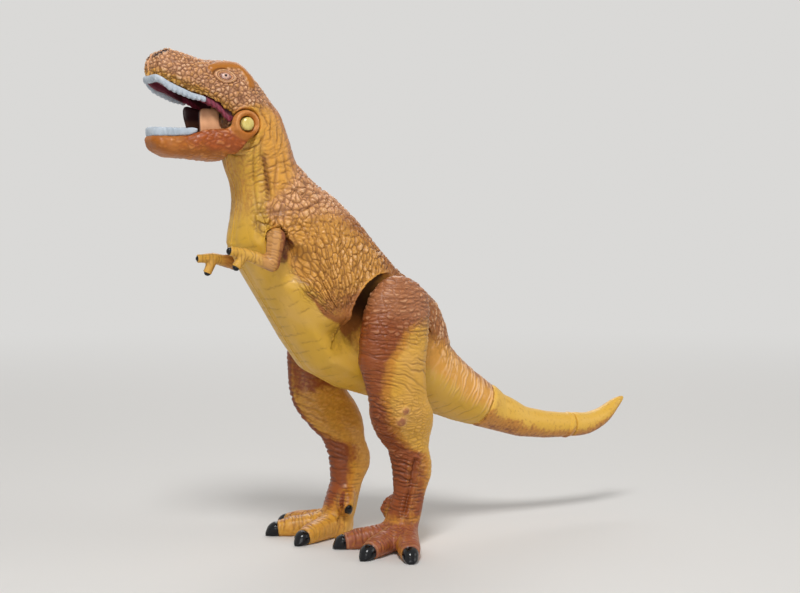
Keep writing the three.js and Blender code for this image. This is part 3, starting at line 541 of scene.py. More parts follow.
# %% Places on the torso, in millimetres
HEART = (-27.2, 55.4)
SHOULDER = (-43.22, 75.62)
JAW_PIN = (-49.47, 101.27)
HIP = (-14.46, 56.0)
EYE = (-54.2, 7.5, 111.9)
BROW = [(-56.6, 6.2, 113.8), (-54.7, 5.6, 114.8), (-52.8, 5.5, 115.1), (-50.9, 5.9, 114.9),
        (-49.3, 6.2, 113.9), (-48.4, 7.1, 112.3), (-48.0, 8.1, 110.4)]
NOSTRIL = [(-68.5, 1.9, 116.4), (-67.4, 1.8, 117.0), (-66.3, 1.3, 117.5)]
MOUTH_RIM = [(-69.7, 111.2), (-65.4, 109.6), (-61.7, 108.0), (-58.4, 106.6), (-54.9, 104.9), (-52.1, 103.3)]
BELLY_EDGE = [(-60, 90), (-50, 84.5), (-45.4, 81.1), (-43.2, 75), (-40.0, 69.3), (-37.5, 64.5),
              (-35.1, 61.0), (-31.5, 57.4), (-27.4, 54.6), (-21, 47), (-12, 43.5), (0, 40), (12, 33),
              (24, 28)]
NECK_MIDDLE = [(75, -41), (84, -41.5), (92, -42), (100, -43)]
NECK_VALLEY = [(-44.9, 8.2, 94.0), (-44.5, 8.0, 90.9), (-44.0, 8.1, 86.4), (-44.2, 8.0, 84.0)]
NECK_CREASES = [[(-47.2, 7.8, 96.2), (-47.2, 6.9, 92.5), (-46.9, 6.1, 88.6)],
                [(-45.7, 8.4, 98.0), (-45.9, 8.0, 93.0), (-45.5, 7.6, 84.0), (-46.0, 7.2, 80.0)]]
SADDLE = [(-46.9, 80.8), (-43.9, 81.8), (-40.1, 82.0), (-36.3, 81.8), (-33.7, 83.0), (-30.0, 84.6)]
ARM_SHADE = [(-40.9, 77.2), (-39.9, 74.4), (-40.3, 70.8)]
POCKET_SHARE = 1.15
POCKET_FLOOR = 9.4
POCKET_ARC = [(a, POCKET_SHARE) for a in range(-95, 96, 12)]
POCKET_FLARE = [(105, 1.28), (118, 1.50), (135, 1.95), (152, 2.9), (208, 2.9), (228, 2.6), (242, 1.8),
                (254, 1.38)]
THIGH_RADIUS = 10.4
POCKET = fan_outline(HIP, THIGH_RADIUS, POCKET_ARC + POCKET_FLARE)
FLARE = fan_outline(HIP, THIGH_RADIUS, POCKET_FLARE)
RECESS_SHARE = 1.9
RECESS_ARC = [(a, RECESS_SHARE) for a in range(-110, 101, 15)]
RECESS_FLARE = [(118, 3.2), (145, 4.6), (180, 5), (212, 4.8), (232, 3.2)]
PEG_RADIUS = 2.0
RECESS_FLOOR = 8.6
SHOULDER_RECESS = fan_outline(SHOULDER, PEG_RADIUS, RECESS_ARC + RECESS_FLARE)
ARM_FLARE = fan_outline(SHOULDER, PEG_RADIUS, RECESS_FLARE)


# %% Where each kind of hide lies
def head_share(x, z):
    return ramp((x + 46) * -0.75 + (z - 104) * 0.66, -1.5, 1.5)


def torso_masks(points, normals):
    x, y, z = points.T
    side = np.abs(y)
    side_view = columns(x, z)
    outward = normals[:, 1] * np.sign(y)
    head = head_share(x, z)
    neck = (1 - head) * ramp(z - 82 - (x + 45.4) * 0.95, -2.5, 3.0) * ramp(x, -24, -30)
    masks = dict(head=head, neck=neck, level=body_level(side_view), side=side, outward=outward)
    over_edge = height_over(BELLY_EDGE, x + 3.0 * crease(z - 77, 5), z) + noise(points, 3.0, 2)
    masks["low"] = ramp(over_edge, 1.8, -2.0) * (1 - head)
    masks["reach"] = np.hypot(x - HEART[0], z - HEART[1])
    masks["to_rump"] = ramp(x - 0.2 * (z - 50), -4, 3)
    masks["from_hip"] = np.hypot(x - HIP[0], z - HIP[1])
    masks["lobe"] = np.hypot(x - JAW_PIN[0], z - JAW_PIN[1])
    in_pocket = inside_outline(side_view, POCKET) & (side > 8.9)
    masks["in_pocket"] = in_pocket & (outward > -0.5)
    masks["in_recess"] = inside_outline(side_view, SHOULDER_RECESS) & (side > 8.2) & (outward > 0.7)
    return masks


# %% [markdown]
# ## The skin drawn close to the joints
# On the real moulding the flank is pulled close round the thigh and the arm, and the belly slopes gently
# into the hollow behind the thigh. The pocket's rim is drawn in to leave half a millimetre of play, and
# the hollow's lower edges are sloped down to its floor. The lip dips in front of the jaw's lobe.

# %% Drawing the rims in
def draw_rim(points, centre, rim, pull, spread, deepest, turns):
    """Moves a round pocket's rim towards its centre and lets the skin behind it follow."""
    x, y, z = points.T
    away = np.hypot(x - centre[0], z - centre[1])
    share = np.where(away < rim, ramp(away, rim - 2.2 * pull, rim), ramp(away, rim + spread, rim + 0.2))
    turned = ramp(np.abs(turn_about(centre, x, z)), turns[1], turns[0])
    share *= turned * ramp(np.abs(y), deepest - 1.6, deepest - 0.4)
    moved = points.copy()
    for axis, middle in ((0, centre[0]), (2, centre[1])):
        moved[:, axis] -= share * pull * (points[:, axis] - middle) / np.maximum(away, 0.1)
    return moved


def slope_flare(points, centre, outline, flare, floor_y, reach, turns):
    """Lays the skin down to a pocket's floor where the pocket flares out for the swinging limb."""
    x, y, z = points.T
    side_view = columns(x, z)
    along = between(turn_about(centre, x, z) % 360, *turns)
    gap = np.where(inside_outline(side_view, outline), 0.0, line_distance(side_view, flare))
    keep = 1 - along * (1 - (0.10 + 0.90 * ramp(gap, 0.0, reach)))
    side = np.abs(y)
    moved = points.copy()
    moved[:, 1] = np.where(side > floor_y, np.sign(y) * (floor_y + (side - floor_y) * keep), y)
    return moved


def dip_lip(points):
    """Lifts the lip over the gum and drops it in front of the jaw's lobe."""
    x, y, z = points.T
    over_rim = height_over(MOUTH_RIM, x, z)
    near = between(over_rim, -4.0, -2.0, 0.3, 3.2) * ramp(np.abs(y), 4.0, 5.4) * ramp(x, -50.0, -51.5)
    moved = points.copy()
    moved[:, 2] += near * (0.45 * crease(x + 58.2, 2.4) - 1.15 * crease(x + 52.9, 1.5))
    return moved


def draw_skin(points):
    moved = draw_rim(points, HIP, THIGH_RADIUS * POCKET_SHARE, 1.05, 5.5, POCKET_FLOOR, (88, 112))
    moved = draw_rim(moved, SHOULDER, PEG_RADIUS * RECESS_SHARE, 1.2, 4.0, RECESS_FLOOR, (92, 125))
    moved = slope_flare(moved, HIP, POCKET, FLARE, POCKET_FLOOR, 9.5, (83, 104, 238, 266))
    moved = slope_flare(moved, SHOULDER, SHOULDER_RECESS, ARM_FLARE, RECESS_FLOOR, 4.5, (112, 140, 232, 255))
    return dip_lip(moved)


# %% Relief of each kind of hide
def scale_relief(points):
    """Small pebbled scales of the head, each of its own height."""
    scales, tone = hide_cells(wander(points, 2.0, 0.4), (1.05, 1.05, 0.9))
    small, _ = hide_cells(wander(points, 1.5, 0.2, 5), 0.6, 7)
    depth = -0.19 * crease(scales, 0.14) + (0.05 + 0.12 * tone) * ramp(scales, 0.03, 0.3)
    depth -= 0.06 * crease(small, 0.11)
    return depth, np.maximum(0.85 * crease(scales, 0.14), 0.4 * crease(small, 0.1)), tone


def neck_relief(points, side, lobe):
    """Folds down the neck, a hatched valley behind the throat, and short creases across."""
    x, _, z = points.T
    mirrored = columns(x, side, z)
    around = np.arctan2(side, -(x - follow(NECK_MIDDLE, z))) * 8.5
    slant = z - 0.30 * around
    down = folds(z, around, 2.6, 16.0, 0.42, 3, wave=0.35, shown=-0.1)
    across = folds(around, slant + 0.4 * noise(points, 2.0, 5), 1.3, 2.6, 0.22, 8, shown=-0.15)
    fine = folds(around, slant, 0.8, 1.6, 0.17, 14, shown=0.05)
    valley = crease(line_distance(mirrored, NECK_VALLEY), 0.85)
    hatch = 0.5 + 0.5 * np.sin((z + 0.6 * x) * 2 * math.pi / 0.95)
    nearest = np.min([line_distance(mirrored, line) for line in NECK_CREASES], axis=0)
    bow = turn_about(JAW_PIN, x, z) * 0.12
    bows = folds(bow, lobe + 0.3 * noise(points, 2.0, 9), 1.7, 4.0, 0.24, 34, shown=-0.2) * ramp(lobe, 13, 9)
    lateral = ramp(around, 4.5, 8.0)
    upper = ramp(z, 92, 96)
    calm = 1 - 0.6 * upper
    across = across * calm
    depth = -0.36 * down * (0.3 + 0.7 * lateral) * calm - 0.20 * across * lateral
    depth += -0.12 * fine * lateral - 0.26 * bows * upper
    depth += -0.45 * valley * (0.6 + 0.4 * hatch) - 0.32 * crease(nearest, 0.4)
    dark = np.maximum.reduce([0.5 * down * lateral * calm, 0.6 * across * lateral, 0.3 * fine * lateral,
                              0.75 * valley * hatch, 0.55 * crease(nearest, 0.3), 0.6 * bows * upper])
    return depth, dark, valley


def flank_relief(points, reach):
    """Cracked plates, a long saddle crease, and narrowing cells that gather at the heart of the flank."""
    x, y, z = points.T
    turn = np.arctan2(x - HEART[0], z - HEART[1])
    plates, tone = hide_cells(wander(points, 3.0, 0.9), (1.5, 1.9, 1.65))
    small, _ = hide_cells(wander(points, 2.0, 0.4, 3), 0.85, 9)
    polar = columns(reach, turn * 15, y)
    drawn, drawn_tone = hide_cells(wander(polar, 2.2, 0.55, 4), (2.3, 0.95, 2.4), 12)
    flat = np.zeros(len(x))
    across_rays = turn * 15 + 0.5 * noise(points, 5.0, 12)
    rays = folds(columns(reach, flat), across_rays, 1.9, 12.0, 0.26, 20, wave=0.35, shown=-0.1)
    from_shoulder = np.hypot(x - SHOULDER[0] - 1.5, z - SHOULDER[1] + 1)
    bow = np.arctan2(z - SHOULDER[1], x - SHOULDER[0]) * 10
    arcs = folds(columns(bow, flat), from_shoulder, 2.0, 11.0, 0.24, 30, shown=-0.1)
    arcs *= between(from_shoulder, 4, 6, 16, 21) * ramp(z, 72, 76)
    saddle = crease(line_distance(columns(x, z), SADDLE), 0.3) * (np.abs(y) > 4)
    gathered = ramp(reach + noise(points, 4.0, 15) * 2.0, 27, 19)
    near = ramp(reach, 1.5, 5)
    rays = rays * gathered * (0.5 + 0.5 * near)
    crack = crease(plates, 0.17) * (1 - gathered) + crease(drawn, 0.16) * gathered * near
    puff = ramp(plates, 0.03, 0.36) * (0.55 + 0.45 * tone) * (1 - gathered)
    puff += ramp(drawn, 0.03, 0.32) * (0.5 + 0.5 * drawn_tone) * gathered * near
    fine = crease(small, 0.12) * near
    depth = 0.15 * puff - 0.31 * crack - 0.09 * fine - 0.27 * rays - 0.27 * arcs - 0.36 * saddle
    dark = np.maximum.reduce([0.72 * crack, 0.66 * rays, 0.6 * arcs, 0.75 * saddle, 0.28 * fine])
    return depth, dark


def rump_relief(points):
    """Slanting rings round the root of the tail, crossed by short cracks."""
    x, y, z = points.T
    along = 0.889 * x - 0.458 * z
    rise = 0.458 * x + 0.889 * z
    wavy = along + 0.35 * noise(points, 2.5, 3)
    rings = folds(columns(y, rise), wavy, 1.05, 5.0, 0.24, 40, wave=0.42, shown=-0.1)
    cells, tone = hide_cells(wander(points, 3.0, 0.7, 4), (1.1, 2.4, 2.0), 6)
    high = ramp(z, 40, 50)
    upper = ramp(rise, 30, 38)
    depth = 0.20 * rings * upper - 0.08 * rings * (1 - upper) - 0.13 * crease(cells, 0.18) * high
    depth += 0.06 * tone * ramp(cells, 0.05, 0.4)
    return depth, np.maximum(0.2 * rings * (1 - upper), 0.45 * crease(cells, 0.16) * high)


def belly_relief(points):
    """Short shallow dashes in rows across a smooth belly."""
    x, y, z = points.T
    along = 0.46 * x - 0.88 * z + 0.5 * noise(points, 6.0, 53)
    around = 0.8 * np.abs(y) + 0.7 * (0.88 * x + 0.46 * z)
    rows = folds(around, along, 2.6, 1.8, 0.16, 50, wave=0.08, shown=0.15)
    lanes = folds(along, around, 2.8, 1.8, 0.16, 54, wave=0.08, shown=0.3)
    return -0.10 * rows - 0.06 * lanes, 0.34 * rows + 0.14 * lanes


def heart_relief(points):
    """The small netted wrinkles below the heart of the flank."""
    x, y, z = points.T
    patch = ramp(np.hypot(x + 24.8, (z - 52.8) * 0.8), 5.5, 2.5) * (np.abs(y) > 6)
    net, _ = hide_cells(wander(points, 1.5, 0.4, 6), (1.1, 1.4, 0.8), 17)
    netted = patch * crease(net, 0.15)
    return -0.16 * netted, 0.6 * netted, patch


# %% Relief of the whole torso
LID_HALF_LENGTH = 2.05
LID_HALF_HEIGHT = 1.35


def eye_gap(points):
    """1 on the outer edge of the lids, from the eye's middle outwards, on both sides of the head."""
    x, y, z = points.T
    along = (x - EYE[0]) * 0.96 - (z - EYE[2]) * 0.20
    up = (x - EYE[0]) * 0.20 + (z - EYE[2]) * 0.98
    gap = np.hypot(along / LID_HALF_LENGTH, up / (LID_HALF_HEIGHT - 0.25 * np.abs(along) / LID_HALF_LENGTH))
    return np.where(np.abs(y) > 4.5, gap, FAR)


def torso_relief(points, normals, masks):
    x, _, z = points.T
    side = masks["side"]
    mirrored = columns(x, side, z)
    head, neck, low, to_rump = (masks[name] for name in ("head", "neck", "low", "to_rump"))
    scale_depth, scale_dark, masks["tone"] = scale_relief(points)
    neck_depth, neck_dark, masks["valley"] = neck_relief(points, side, masks["lobe"])
    flank_depth, flank_dark = flank_relief(points, masks["reach"])
    rump_depth, rump_dark = rump_relief(points)
    belly_depth, belly_dark = belly_relief(points)
    trunk_depth = flank_depth * (1 - to_rump) + rump_depth * to_rump
    trunk_dark = flank_dark * (1 - to_rump) + rump_dark * to_rump
    trunk_depth = trunk_depth * (1 - low) + belly_depth * low
    trunk_dark = trunk_dark * (1 - low) + belly_dark * low
    depth = head * scale_depth + neck * neck_depth + (1 - head) * (1 - neck) * trunk_depth
    dark = head * scale_dark + neck * neck_dark + (1 - head) * (1 - neck) * trunk_dark
    heart_depth, heart_dark, masks["heart"] = heart_relief(points)
    depth += heart_depth
    dark = np.maximum(dark, heart_dark)

    brow = line_distance(mirrored, BROW)
    thick = 1.15 + 0.45 * crease(x + 53.0, 2.6)
    brow_band = ramp(brow / thick, 1.15, 0.85)
    depth = depth * (1 - brow_band) + 0.42 * np.exp(-((brow / thick) ** 4))
    depth -= 0.18 * crease(brow - thick - 0.3, 0.25)
    dark = dark * (1 - brow_band)
    over_rim = height_over(MOUTH_RIM, x, z)
    beads = 0.5 + 0.5 * np.cos((x + 0.4 * z) * 2 * math.pi / 1.25)
    lip = crease(over_rim - 0.5, 0.55) * head * ramp(x, -51.0, -52.5)
    depth = depth * (1 - 0.6 * lip) + 0.14 * lip * beads
    nostril = line_distance(mirrored, NOSTRIL)
    depth = depth - 0.6 * crease(nostril, 0.5) + 0.18 * crease(nostril - 1.1, 0.35)

    gap = eye_gap(points)
    depth = depth * ramp(gap, 1.0, 1.35)
    depth += 0.26 * crease(gap - 1.0, 0.16) + 0.16 * crease(gap - 0.78, 0.08) - 0.25 * ramp(gap, 0.72, 0.6)
    depth -= 0.20 * crease(gap - 1.3, 0.12)
    masks.update(brow=brow_band * head, nostril=nostril, eye=gap, over_rim=over_rim)

    flat_parts = (side < 0.5) & (np.abs(normals[:, 1]) > 0.8)
    low_floor = (x < HIP[0]) * ramp(z, 57, 54)
    inner_round = masks["in_pocket"] * (masks["from_hip"] < 12.6) * (1 - low_floor)
    rim_gap = np.abs(masks["from_hip"] - THIGH_RADIUS * POCKET_SHARE)
    quiet = np.where(side > 9.0, ramp(rim_gap, 0.1, 0.7), 1.0) * (1 - inner_round) * ~flat_parts
    quiet = quiet * np.where(masks["in_pocket"], 0.5, 1.0) * np.where(masks["outward"] < -0.25, 0.0, 1.0)
    quiet = quiet * (1 - 0.8 * ramp(masks["lobe"], 4.6, 3.7) * (side > 5.5))
    quiet = quiet * np.where(masks["in_recess"], 0.35, 1.0)
    # The second result is painted shade in the creases, including those round the lids, in the nostril and
    # on the pocket rim's inner wall.
    shaded = np.maximum(dark * ramp(gap, 1.05, 1.5), 0.8 * between(gap, 1.1, 1.25, 1.3, 1.45))
    shaded = np.maximum(shaded, 0.9 * crease(gap - 0.88, 0.06))
    inner_rim = ramp(masks["from_hip"], 12.3, 11.5) * (side > POCKET_FLOOR + 0.4)
    inner_rim *= ramp(normals[:, 0], 0.0, 0.4)
    shaded = np.maximum(shaded * quiet, 0.6 * inner_rim * (np.abs(turn_about(HIP, x, z)) < 100))
    return depth * quiet, np.maximum(shaded, ramp(nostril, 1.1, 0.5))


# %% Paint of the torso
def torso_coats(points, masks, depth):
    x, _, z = points.T
    head, neck, level, side = (masks[name] for name in ("head", "neck", "level", "side"))
    level = level + noise(points, 9.0, 21) * 0.10
    trunk = (1 - head) * (1 - neck)
    above = height_over(BELLY_EDGE, x, z) + noise(points, 6.0, 22) * 1.5
    # On the neck the warm coat reaches the throat, partly as painted shade under the jaw.
    warm = trunk * ramp(above, -1.0, 6.0) + neck * (0.35 + 0.65 * ramp(level, 0.2, 0.5)) * ramp(z, 80, 86)
    brown = trunk * ramp(level, 0.62, 1.0) * 0.9 + neck * ramp(level, 0.66, 0.95)
    brown += trunk * ramp(masks["reach"], 13, 3) * ramp(above, -0.5, 0.8) * 0.7
    brown += trunk * crease(above - 0.6, 0.8) * ramp(masks["reach"], 16, 8) * 0.6 + 0.3 * masks["heart"]
    brown += trunk * 0.6 * ramp(np.hypot(x + 23, (z - 58.5) * 0.75), 6.0, 2.0) * (side > 6)
    # Brown low on the throat is painted shade under the jaw.
    brown += neck * 0.4 * ramp(level, 0.22, 0.04)
    brown += trunk * 0.55 * ramp(np.abs(x - 2), 7, 3) * ramp(z, 44, 54)
    over_rim = masks["over_rim"] + noise(points, 3.0, 5) * 0.8
    warm += head * (0.45 + 0.55 * ramp(over_rim, 0.0, 3.5))
    brown += head * (0.04 + 0.16 * ramp(over_rim, 1.5, 5.0) + 0.35 * ramp(x, -47.5, -44) * ramp(z, 108, 104))
    blush = head * (0.62 + 0.35 * masks["tone"]) * ramp(over_rim, 0.5, 3.5) * (1 - masks["brow"])
    blush += trunk * 0.6 * ramp(z, 77, 83) * ramp(above, 1, 5) * (1 - masks["to_rump"])
    blush += neck * 0.4 * ramp(level, 0.5, 0.9)
    # The light coat is a painted highlight on raised scales and hide, stronger higher on the body, and a
    # ring on the lids.
    light = head * (0.34 + 0.40 * masks["tone"]) * ramp(depth, 0.03, 0.13) * (1 - masks["brow"])
    light += (1 - head) * (0.36 * ramp(level, 0.3, 0.65) + 0.12) * ramp(depth, 0.02, 0.10)
    light = light * ramp(masks["eye"], 1.05, 1.5) + 0.35 * crease(masks["eye"] - 1.0, 0.09)
    eye_skin = ramp(masks["eye"], 1.25, 1.1)
    # The red coat is painted shade in the neck's valley and behind the arm, besides the eye's own redder
    # skin.
    red = 0.85 * masks["valley"] * neck * 0.6 + eye_skin * 0.3
    shade = line_distance(columns(x, z), ARM_SHADE)
    red = np.maximum(red, ramp(shade, 1.9, 0.5) * (side > 6.5) * 0.75)
    # The dark coat is painted shadow: high in the pocket in front of the thigh, in the nostril and on the
    # upper part of the lug's face.
    front_floor = masks["in_pocket"] & (x < HIP[0]) & (masks["from_hip"] < 13.5)
    dark = front_floor * 0.9 * ramp(z + 0.4 * (x + 26) + noise(points, 1.5, 23), 55.5, 60.5)
    brown *= 1 - 0.6 * front_floor * ramp(z, 56, 51)
    dark = np.maximum(dark, ramp(masks["nostril"], 1.1, 0.5))
    lug = (side < 7.3) * ramp(masks["lobe"], 5.6, 5.0) * between(z, 98.0, 98.8, 103.8, 104.6)
    flesh = lug * ramp(z, 103.2, 102.2)
    dark = np.maximum(dark, lug * ramp(z, 102.5, 103.4) * 0.9)
    return shares(dict(light=light, warm=warm, brown=brown, blush=blush, brow=masks["brow"], flesh=flesh,
                       red=red, dark=dark))


# %% Torso shells
TORSO_VOXEL_MM = 0.42
TORSO_SPREAD_MM = 2.2
TORSO_TRIANGLE_SHARE = 0.69


def torso_amount(points):
    """How far each place is relaxed: fully on the trunk, less on the head and near the jaw's lobe."""
    x, _, z = points.T
    lobe = ramp(np.hypot(x - JAW_PIN[0], z - JAW_PIN[1]), 9, 5)
    return 1 - 0.55 * np.maximum(head_share(x, z), lobe)


def torso_faces(middles, normals):
    """The outer faces of head, neck, flank and rump, which carry fine relief."""
    x, y, z = middles.T
    outward = normals[:, 1] * np.sign(y)
    face = (outward > 0.12) & (np.abs(y) > 2.0)
    face &= (height_over(BELLY_EDGE, x, z) > -4) | (z > 80)
    face &= ~(inside_outline(columns(x, z), POCKET) & (np.abs(y) > 8.8))
    return face | ((head_share(x, z) > 0.6) & (outward > -0.1) & (z > 103))


def eye_faces(middles, normals):
    return eye_gap(middles) < 1.6


def torso_piece(side):
    piece = clay_from(f"torso_shell_{side}", f"torso_{side}_skin", TORSO_VOXEL_MM)
    relax(piece, TORSO_VOXEL_MM, TORSO_SPREAD_MM, torso_amount)
    refine(piece, torso_faces)
    refine(piece, eye_faces)
    points, normals = read_shape(piece)
    masks = torso_masks(points, normals)
    # deep carries the painted shade of the relief.
    depth, deep = torso_relief(points, normals, masks)
    write_points(piece, draw_skin(points + normals * depth[:, None]))
    keep_values(piece, deep=np.clip(deep, 0, 1), **torso_coats(points, masks, depth))
    # The flattest faces go first, and most of them lie on the hidden inner walls.
    apply_modifier(piece, "DECIMATE", ratio=TORSO_TRIANGLE_SHARE)
    finish_piece(piece, "torso", body_paint, [f"torso_shell_{side}"])


for side in SIDES:
    torso_piece(side)

# %% [markdown]
# ## Eyes
# The eye is a low glossy dome between the lids: a pinkish brown ball with a pale iris and a tiny black
# pupil. A sphere whose pole faces outwards gives rings round the pupil, so the paint can follow them.

# %% Eye paint
def eye_material():
    material, tree = new_material("gloss eye enamel")
    radius = kept(tree, "ring")
    colour = mixed(tree, stepped(tree, radius, 0.55, 1.0), linear(0xC79A86), linear(0x7A4A3C))
    colour = mixed(tree, stepped(tree, grain(tree, 0.3), 0.4, 0.7, 0.0, 0.4), colour, linear(0xE6CCC0))
    colour = mixed(tree, stepped(tree, radius, 0.27, 0.34), linear(0x0C0708), colour)
    coated(tree, Base_Color=colour, Roughness=0.16, Coat_Weight=0.4)
    return material


# %% Eyes
eye_paint = eye_material()
EYE_HALF_SIZES_MM = (1.42, 0.92, 0.62)
EYE_SINK_MM = 0.28
EYE_AHEAD = Vector((0.949, 0.271, -0.163)).normalized()
EYE_UP = Vector((0.10, 0.36, 0.93)).normalized()


def eye_piece(side):
    """The unit ball squeezed to the eye's half sizes, turned along its lids and sunk between them."""
    sign = OUTWARD[side]
    bpy.ops.object.select_all(action="DESELECT")
    bpy.ops.mesh.primitive_uv_sphere_add(segments=36, ring_count=18, radius=1.0 * mm, location=(0, 0, 0))
    piece = bpy.context.object
    piece.name = f"{side}_eye_dome"
    ball = read_points(piece)
    ring = np.hypot(ball[:, 0] * EYE_HALF_SIZES_MM[0], ball[:, 1] * EYE_HALF_SIZES_MM[1])
    ring = np.where(ball[:, 2] > 0, ring, 1.5)
    ahead = Vector((EYE_AHEAD.x, EYE_AHEAD.y * sign, EYE_AHEAD.z))
    up = Vector((EYE_UP.x, EYE_UP.y * -sign, EYE_UP.z))
    out = ahead.cross(up).normalized()
    if out.y * sign < 0:
        out = -out
    up = out.cross(ahead)
    if up.z < 0:
        up = -up
    frame_rows = np.array([ahead, up, out])
    middle = np.array([EYE[0], EYE[1] * sign, EYE[2]]) - np.array(out) * EYE_SINK_MM
    write_points(piece, (ball * EYE_HALF_SIZES_MM) @ frame_rows + middle)
    if np.linalg.det(frame_rows) < 0:
        select_only(piece)
        bpy.ops.object.mode_set(mode="EDIT")
        bpy.ops.mesh.select_all(action="SELECT")
        bpy.ops.mesh.flip_normals()
        bpy.ops.object.mode_set(mode="OBJECT")
    keep_values(piece, ring=ring)
    finish_piece(piece, "torso", eye_paint)


for side in SIDES:
    eye_piece(side)

# %% [markdown]
# ## Legs
# Each leg is one solid moulding. Its folds run across the limb: long wavy ones on the thigh, deep ones in
# front of the knee and ankle, fine rings on the foot and over the toes. The claws are blunt domes that
# are only painted, with a raised edge of skin around them.

# %% Places on the legs, in millimetres
ANKLES = {"left": (-8.43, -10.12), "right": (-14.63, 10.12)}
LEG_SHIFT = {"left": 0.0, "right": 6.2}
TOE_TURNS = (-22, 27, 63)
TOE_LENGTHS = (17.48, 19.0, 19.57)
CLAW_START_SHARE = 0.835
TOE_HALF_WIDTH = 3.4
TOE_TOP = 6
FURROW = [(-7.6, 13.9, 21.3), (-8.6, 13.0, 14.4), (-10.0, 13.3, 10.2), (-12.9, 15.5, 6.0),
          (-16.8, 21.0, 3.6)]
KNEE_BUMPS = ((-13.2, 34.4, 1.15), (-13.5, 31.8, 1.4))
HOCK_PUSH = {"left": 0.5, "right": 1.3}
HALLUX_ROOT = (3.67, 10.6)
HALLUX_WAY = (-0.28, 0.38, -0.88)
HALLUX_END = 4.6
HALLUX_CLAW = (-1.07, 6.72, 7.2)
HALLUX_CLAW_RADIUS = 1.5


def claw_distance(points, side):
    """Positive on the claws: how far past its toe's claw edge each point lies."""
    ankle_x, ankle_y = ANKLES[side]
    best = np.full(len(points), -FAR)
    for turn, length in zip(TOE_TURNS, TOE_LENGTHS):
        angle = math.radians(turn)
        ahead = np.array([-math.cos(angle), OUTWARD[side] * math.sin(angle)])
        offset = points[:, :2] - (ankle_x, ankle_y)
        along = offset @ ahead
        beside = np.abs(offset @ np.array([-ahead[1], ahead[0]]))
        past = along - CLAW_START_SHARE * length - 0.12 * (points[:, 2] - 2.0)
        past = np.where((beside < TOE_HALF_WIDTH) & (points[:, 2] < TOE_TOP), past, -FAR)
        best = np.maximum(best, past)
    return best


def hallux_places(points, side):
    """How far along the small rear toe each point lies, and how far from its axis, with its direction."""
    ankle_x, ankle_y = ANKLES[side]
    inward, height = HALLUX_ROOT
    origin = np.array([ankle_x, ankle_y - OUTWARD[side] * inward, height])
    way = np.array(HALLUX_WAY) * (1, -OUTWARD[side], 1)
    way = way / np.linalg.norm(way)
    offset = points - origin
    along = offset @ way
    across = np.linalg.norm(offset - along[:, None] * way, axis=1)
    return along, across, way


def hallux_distance(points, side):
    """Positive on the rear toe's claw, a small drop on the leg's inner side."""
    ankle_x, ankle_y = ANKLES[side]
    ahead, inward, height = HALLUX_CLAW
    offset = points - (ankle_x + ahead, ankle_y - OUTWARD[side] * inward, height)
    return HALLUX_CLAW_RADIUS - np.linalg.norm(offset * (1, 1, 0.85), axis=1)


# %% Relief of a leg
def leg_masks(points, normals, side):
    x, y, z = points.T
    lx = x + LEG_SHIFT[side] * ramp(z, 56, 37)
    ankle = np.array(ANKLES[side])
    from_ankle = np.hypot(x - ankle[0], y - ankle[1])
    toe_turn = np.arctan2((y - ankle[1]) * OUTWARD[side], -(x - ankle[0]))
    masks = dict(lx=lx, from_ankle=from_ankle, toe_turn=toe_turn, outer=normals[:, 1] * OUTWARD[side])
    masks["knee"] = between(z, 17, 20, 36, 41)
    masks["shank"] = ramp(z, 20, 17)
    masks["foot"] = ramp(z - 0.55 * np.maximum(from_ankle - 5, 0), 8.5, 5.5)
    masks["front"] = ramp(-normals[:, 0], -0.1, 0.6)
    masks["up"] = normals[:, 2]
    along, across, _ = hallux_places(points, side)
    masks["rear_toe"] = ramp(along, -3.0, 0.0) * ramp(across, 3.2, 2.0) * (masks["outer"] < 0)
    bump = np.max([crease(np.hypot((lx - bx), (z - bz)), size) for bx, bz, size in KNEE_BUMPS], axis=0)
    masks["bump"] = ramp(bump, 0.05, 0.95) * (masks["outer"] > 0.1) * (y * OUTWARD[side] > 12)
    toe_claws = claw_distance(points, side)
    masks["cuff"] = crease(toe_claws + 0.42, 0.25)
    masks["claw"] = np.maximum(toe_claws, hallux_distance(points, side))
    masks["furrow"] = line_distance(columns(lx, y * OUTWARD[side], z), FURROW)
    return masks


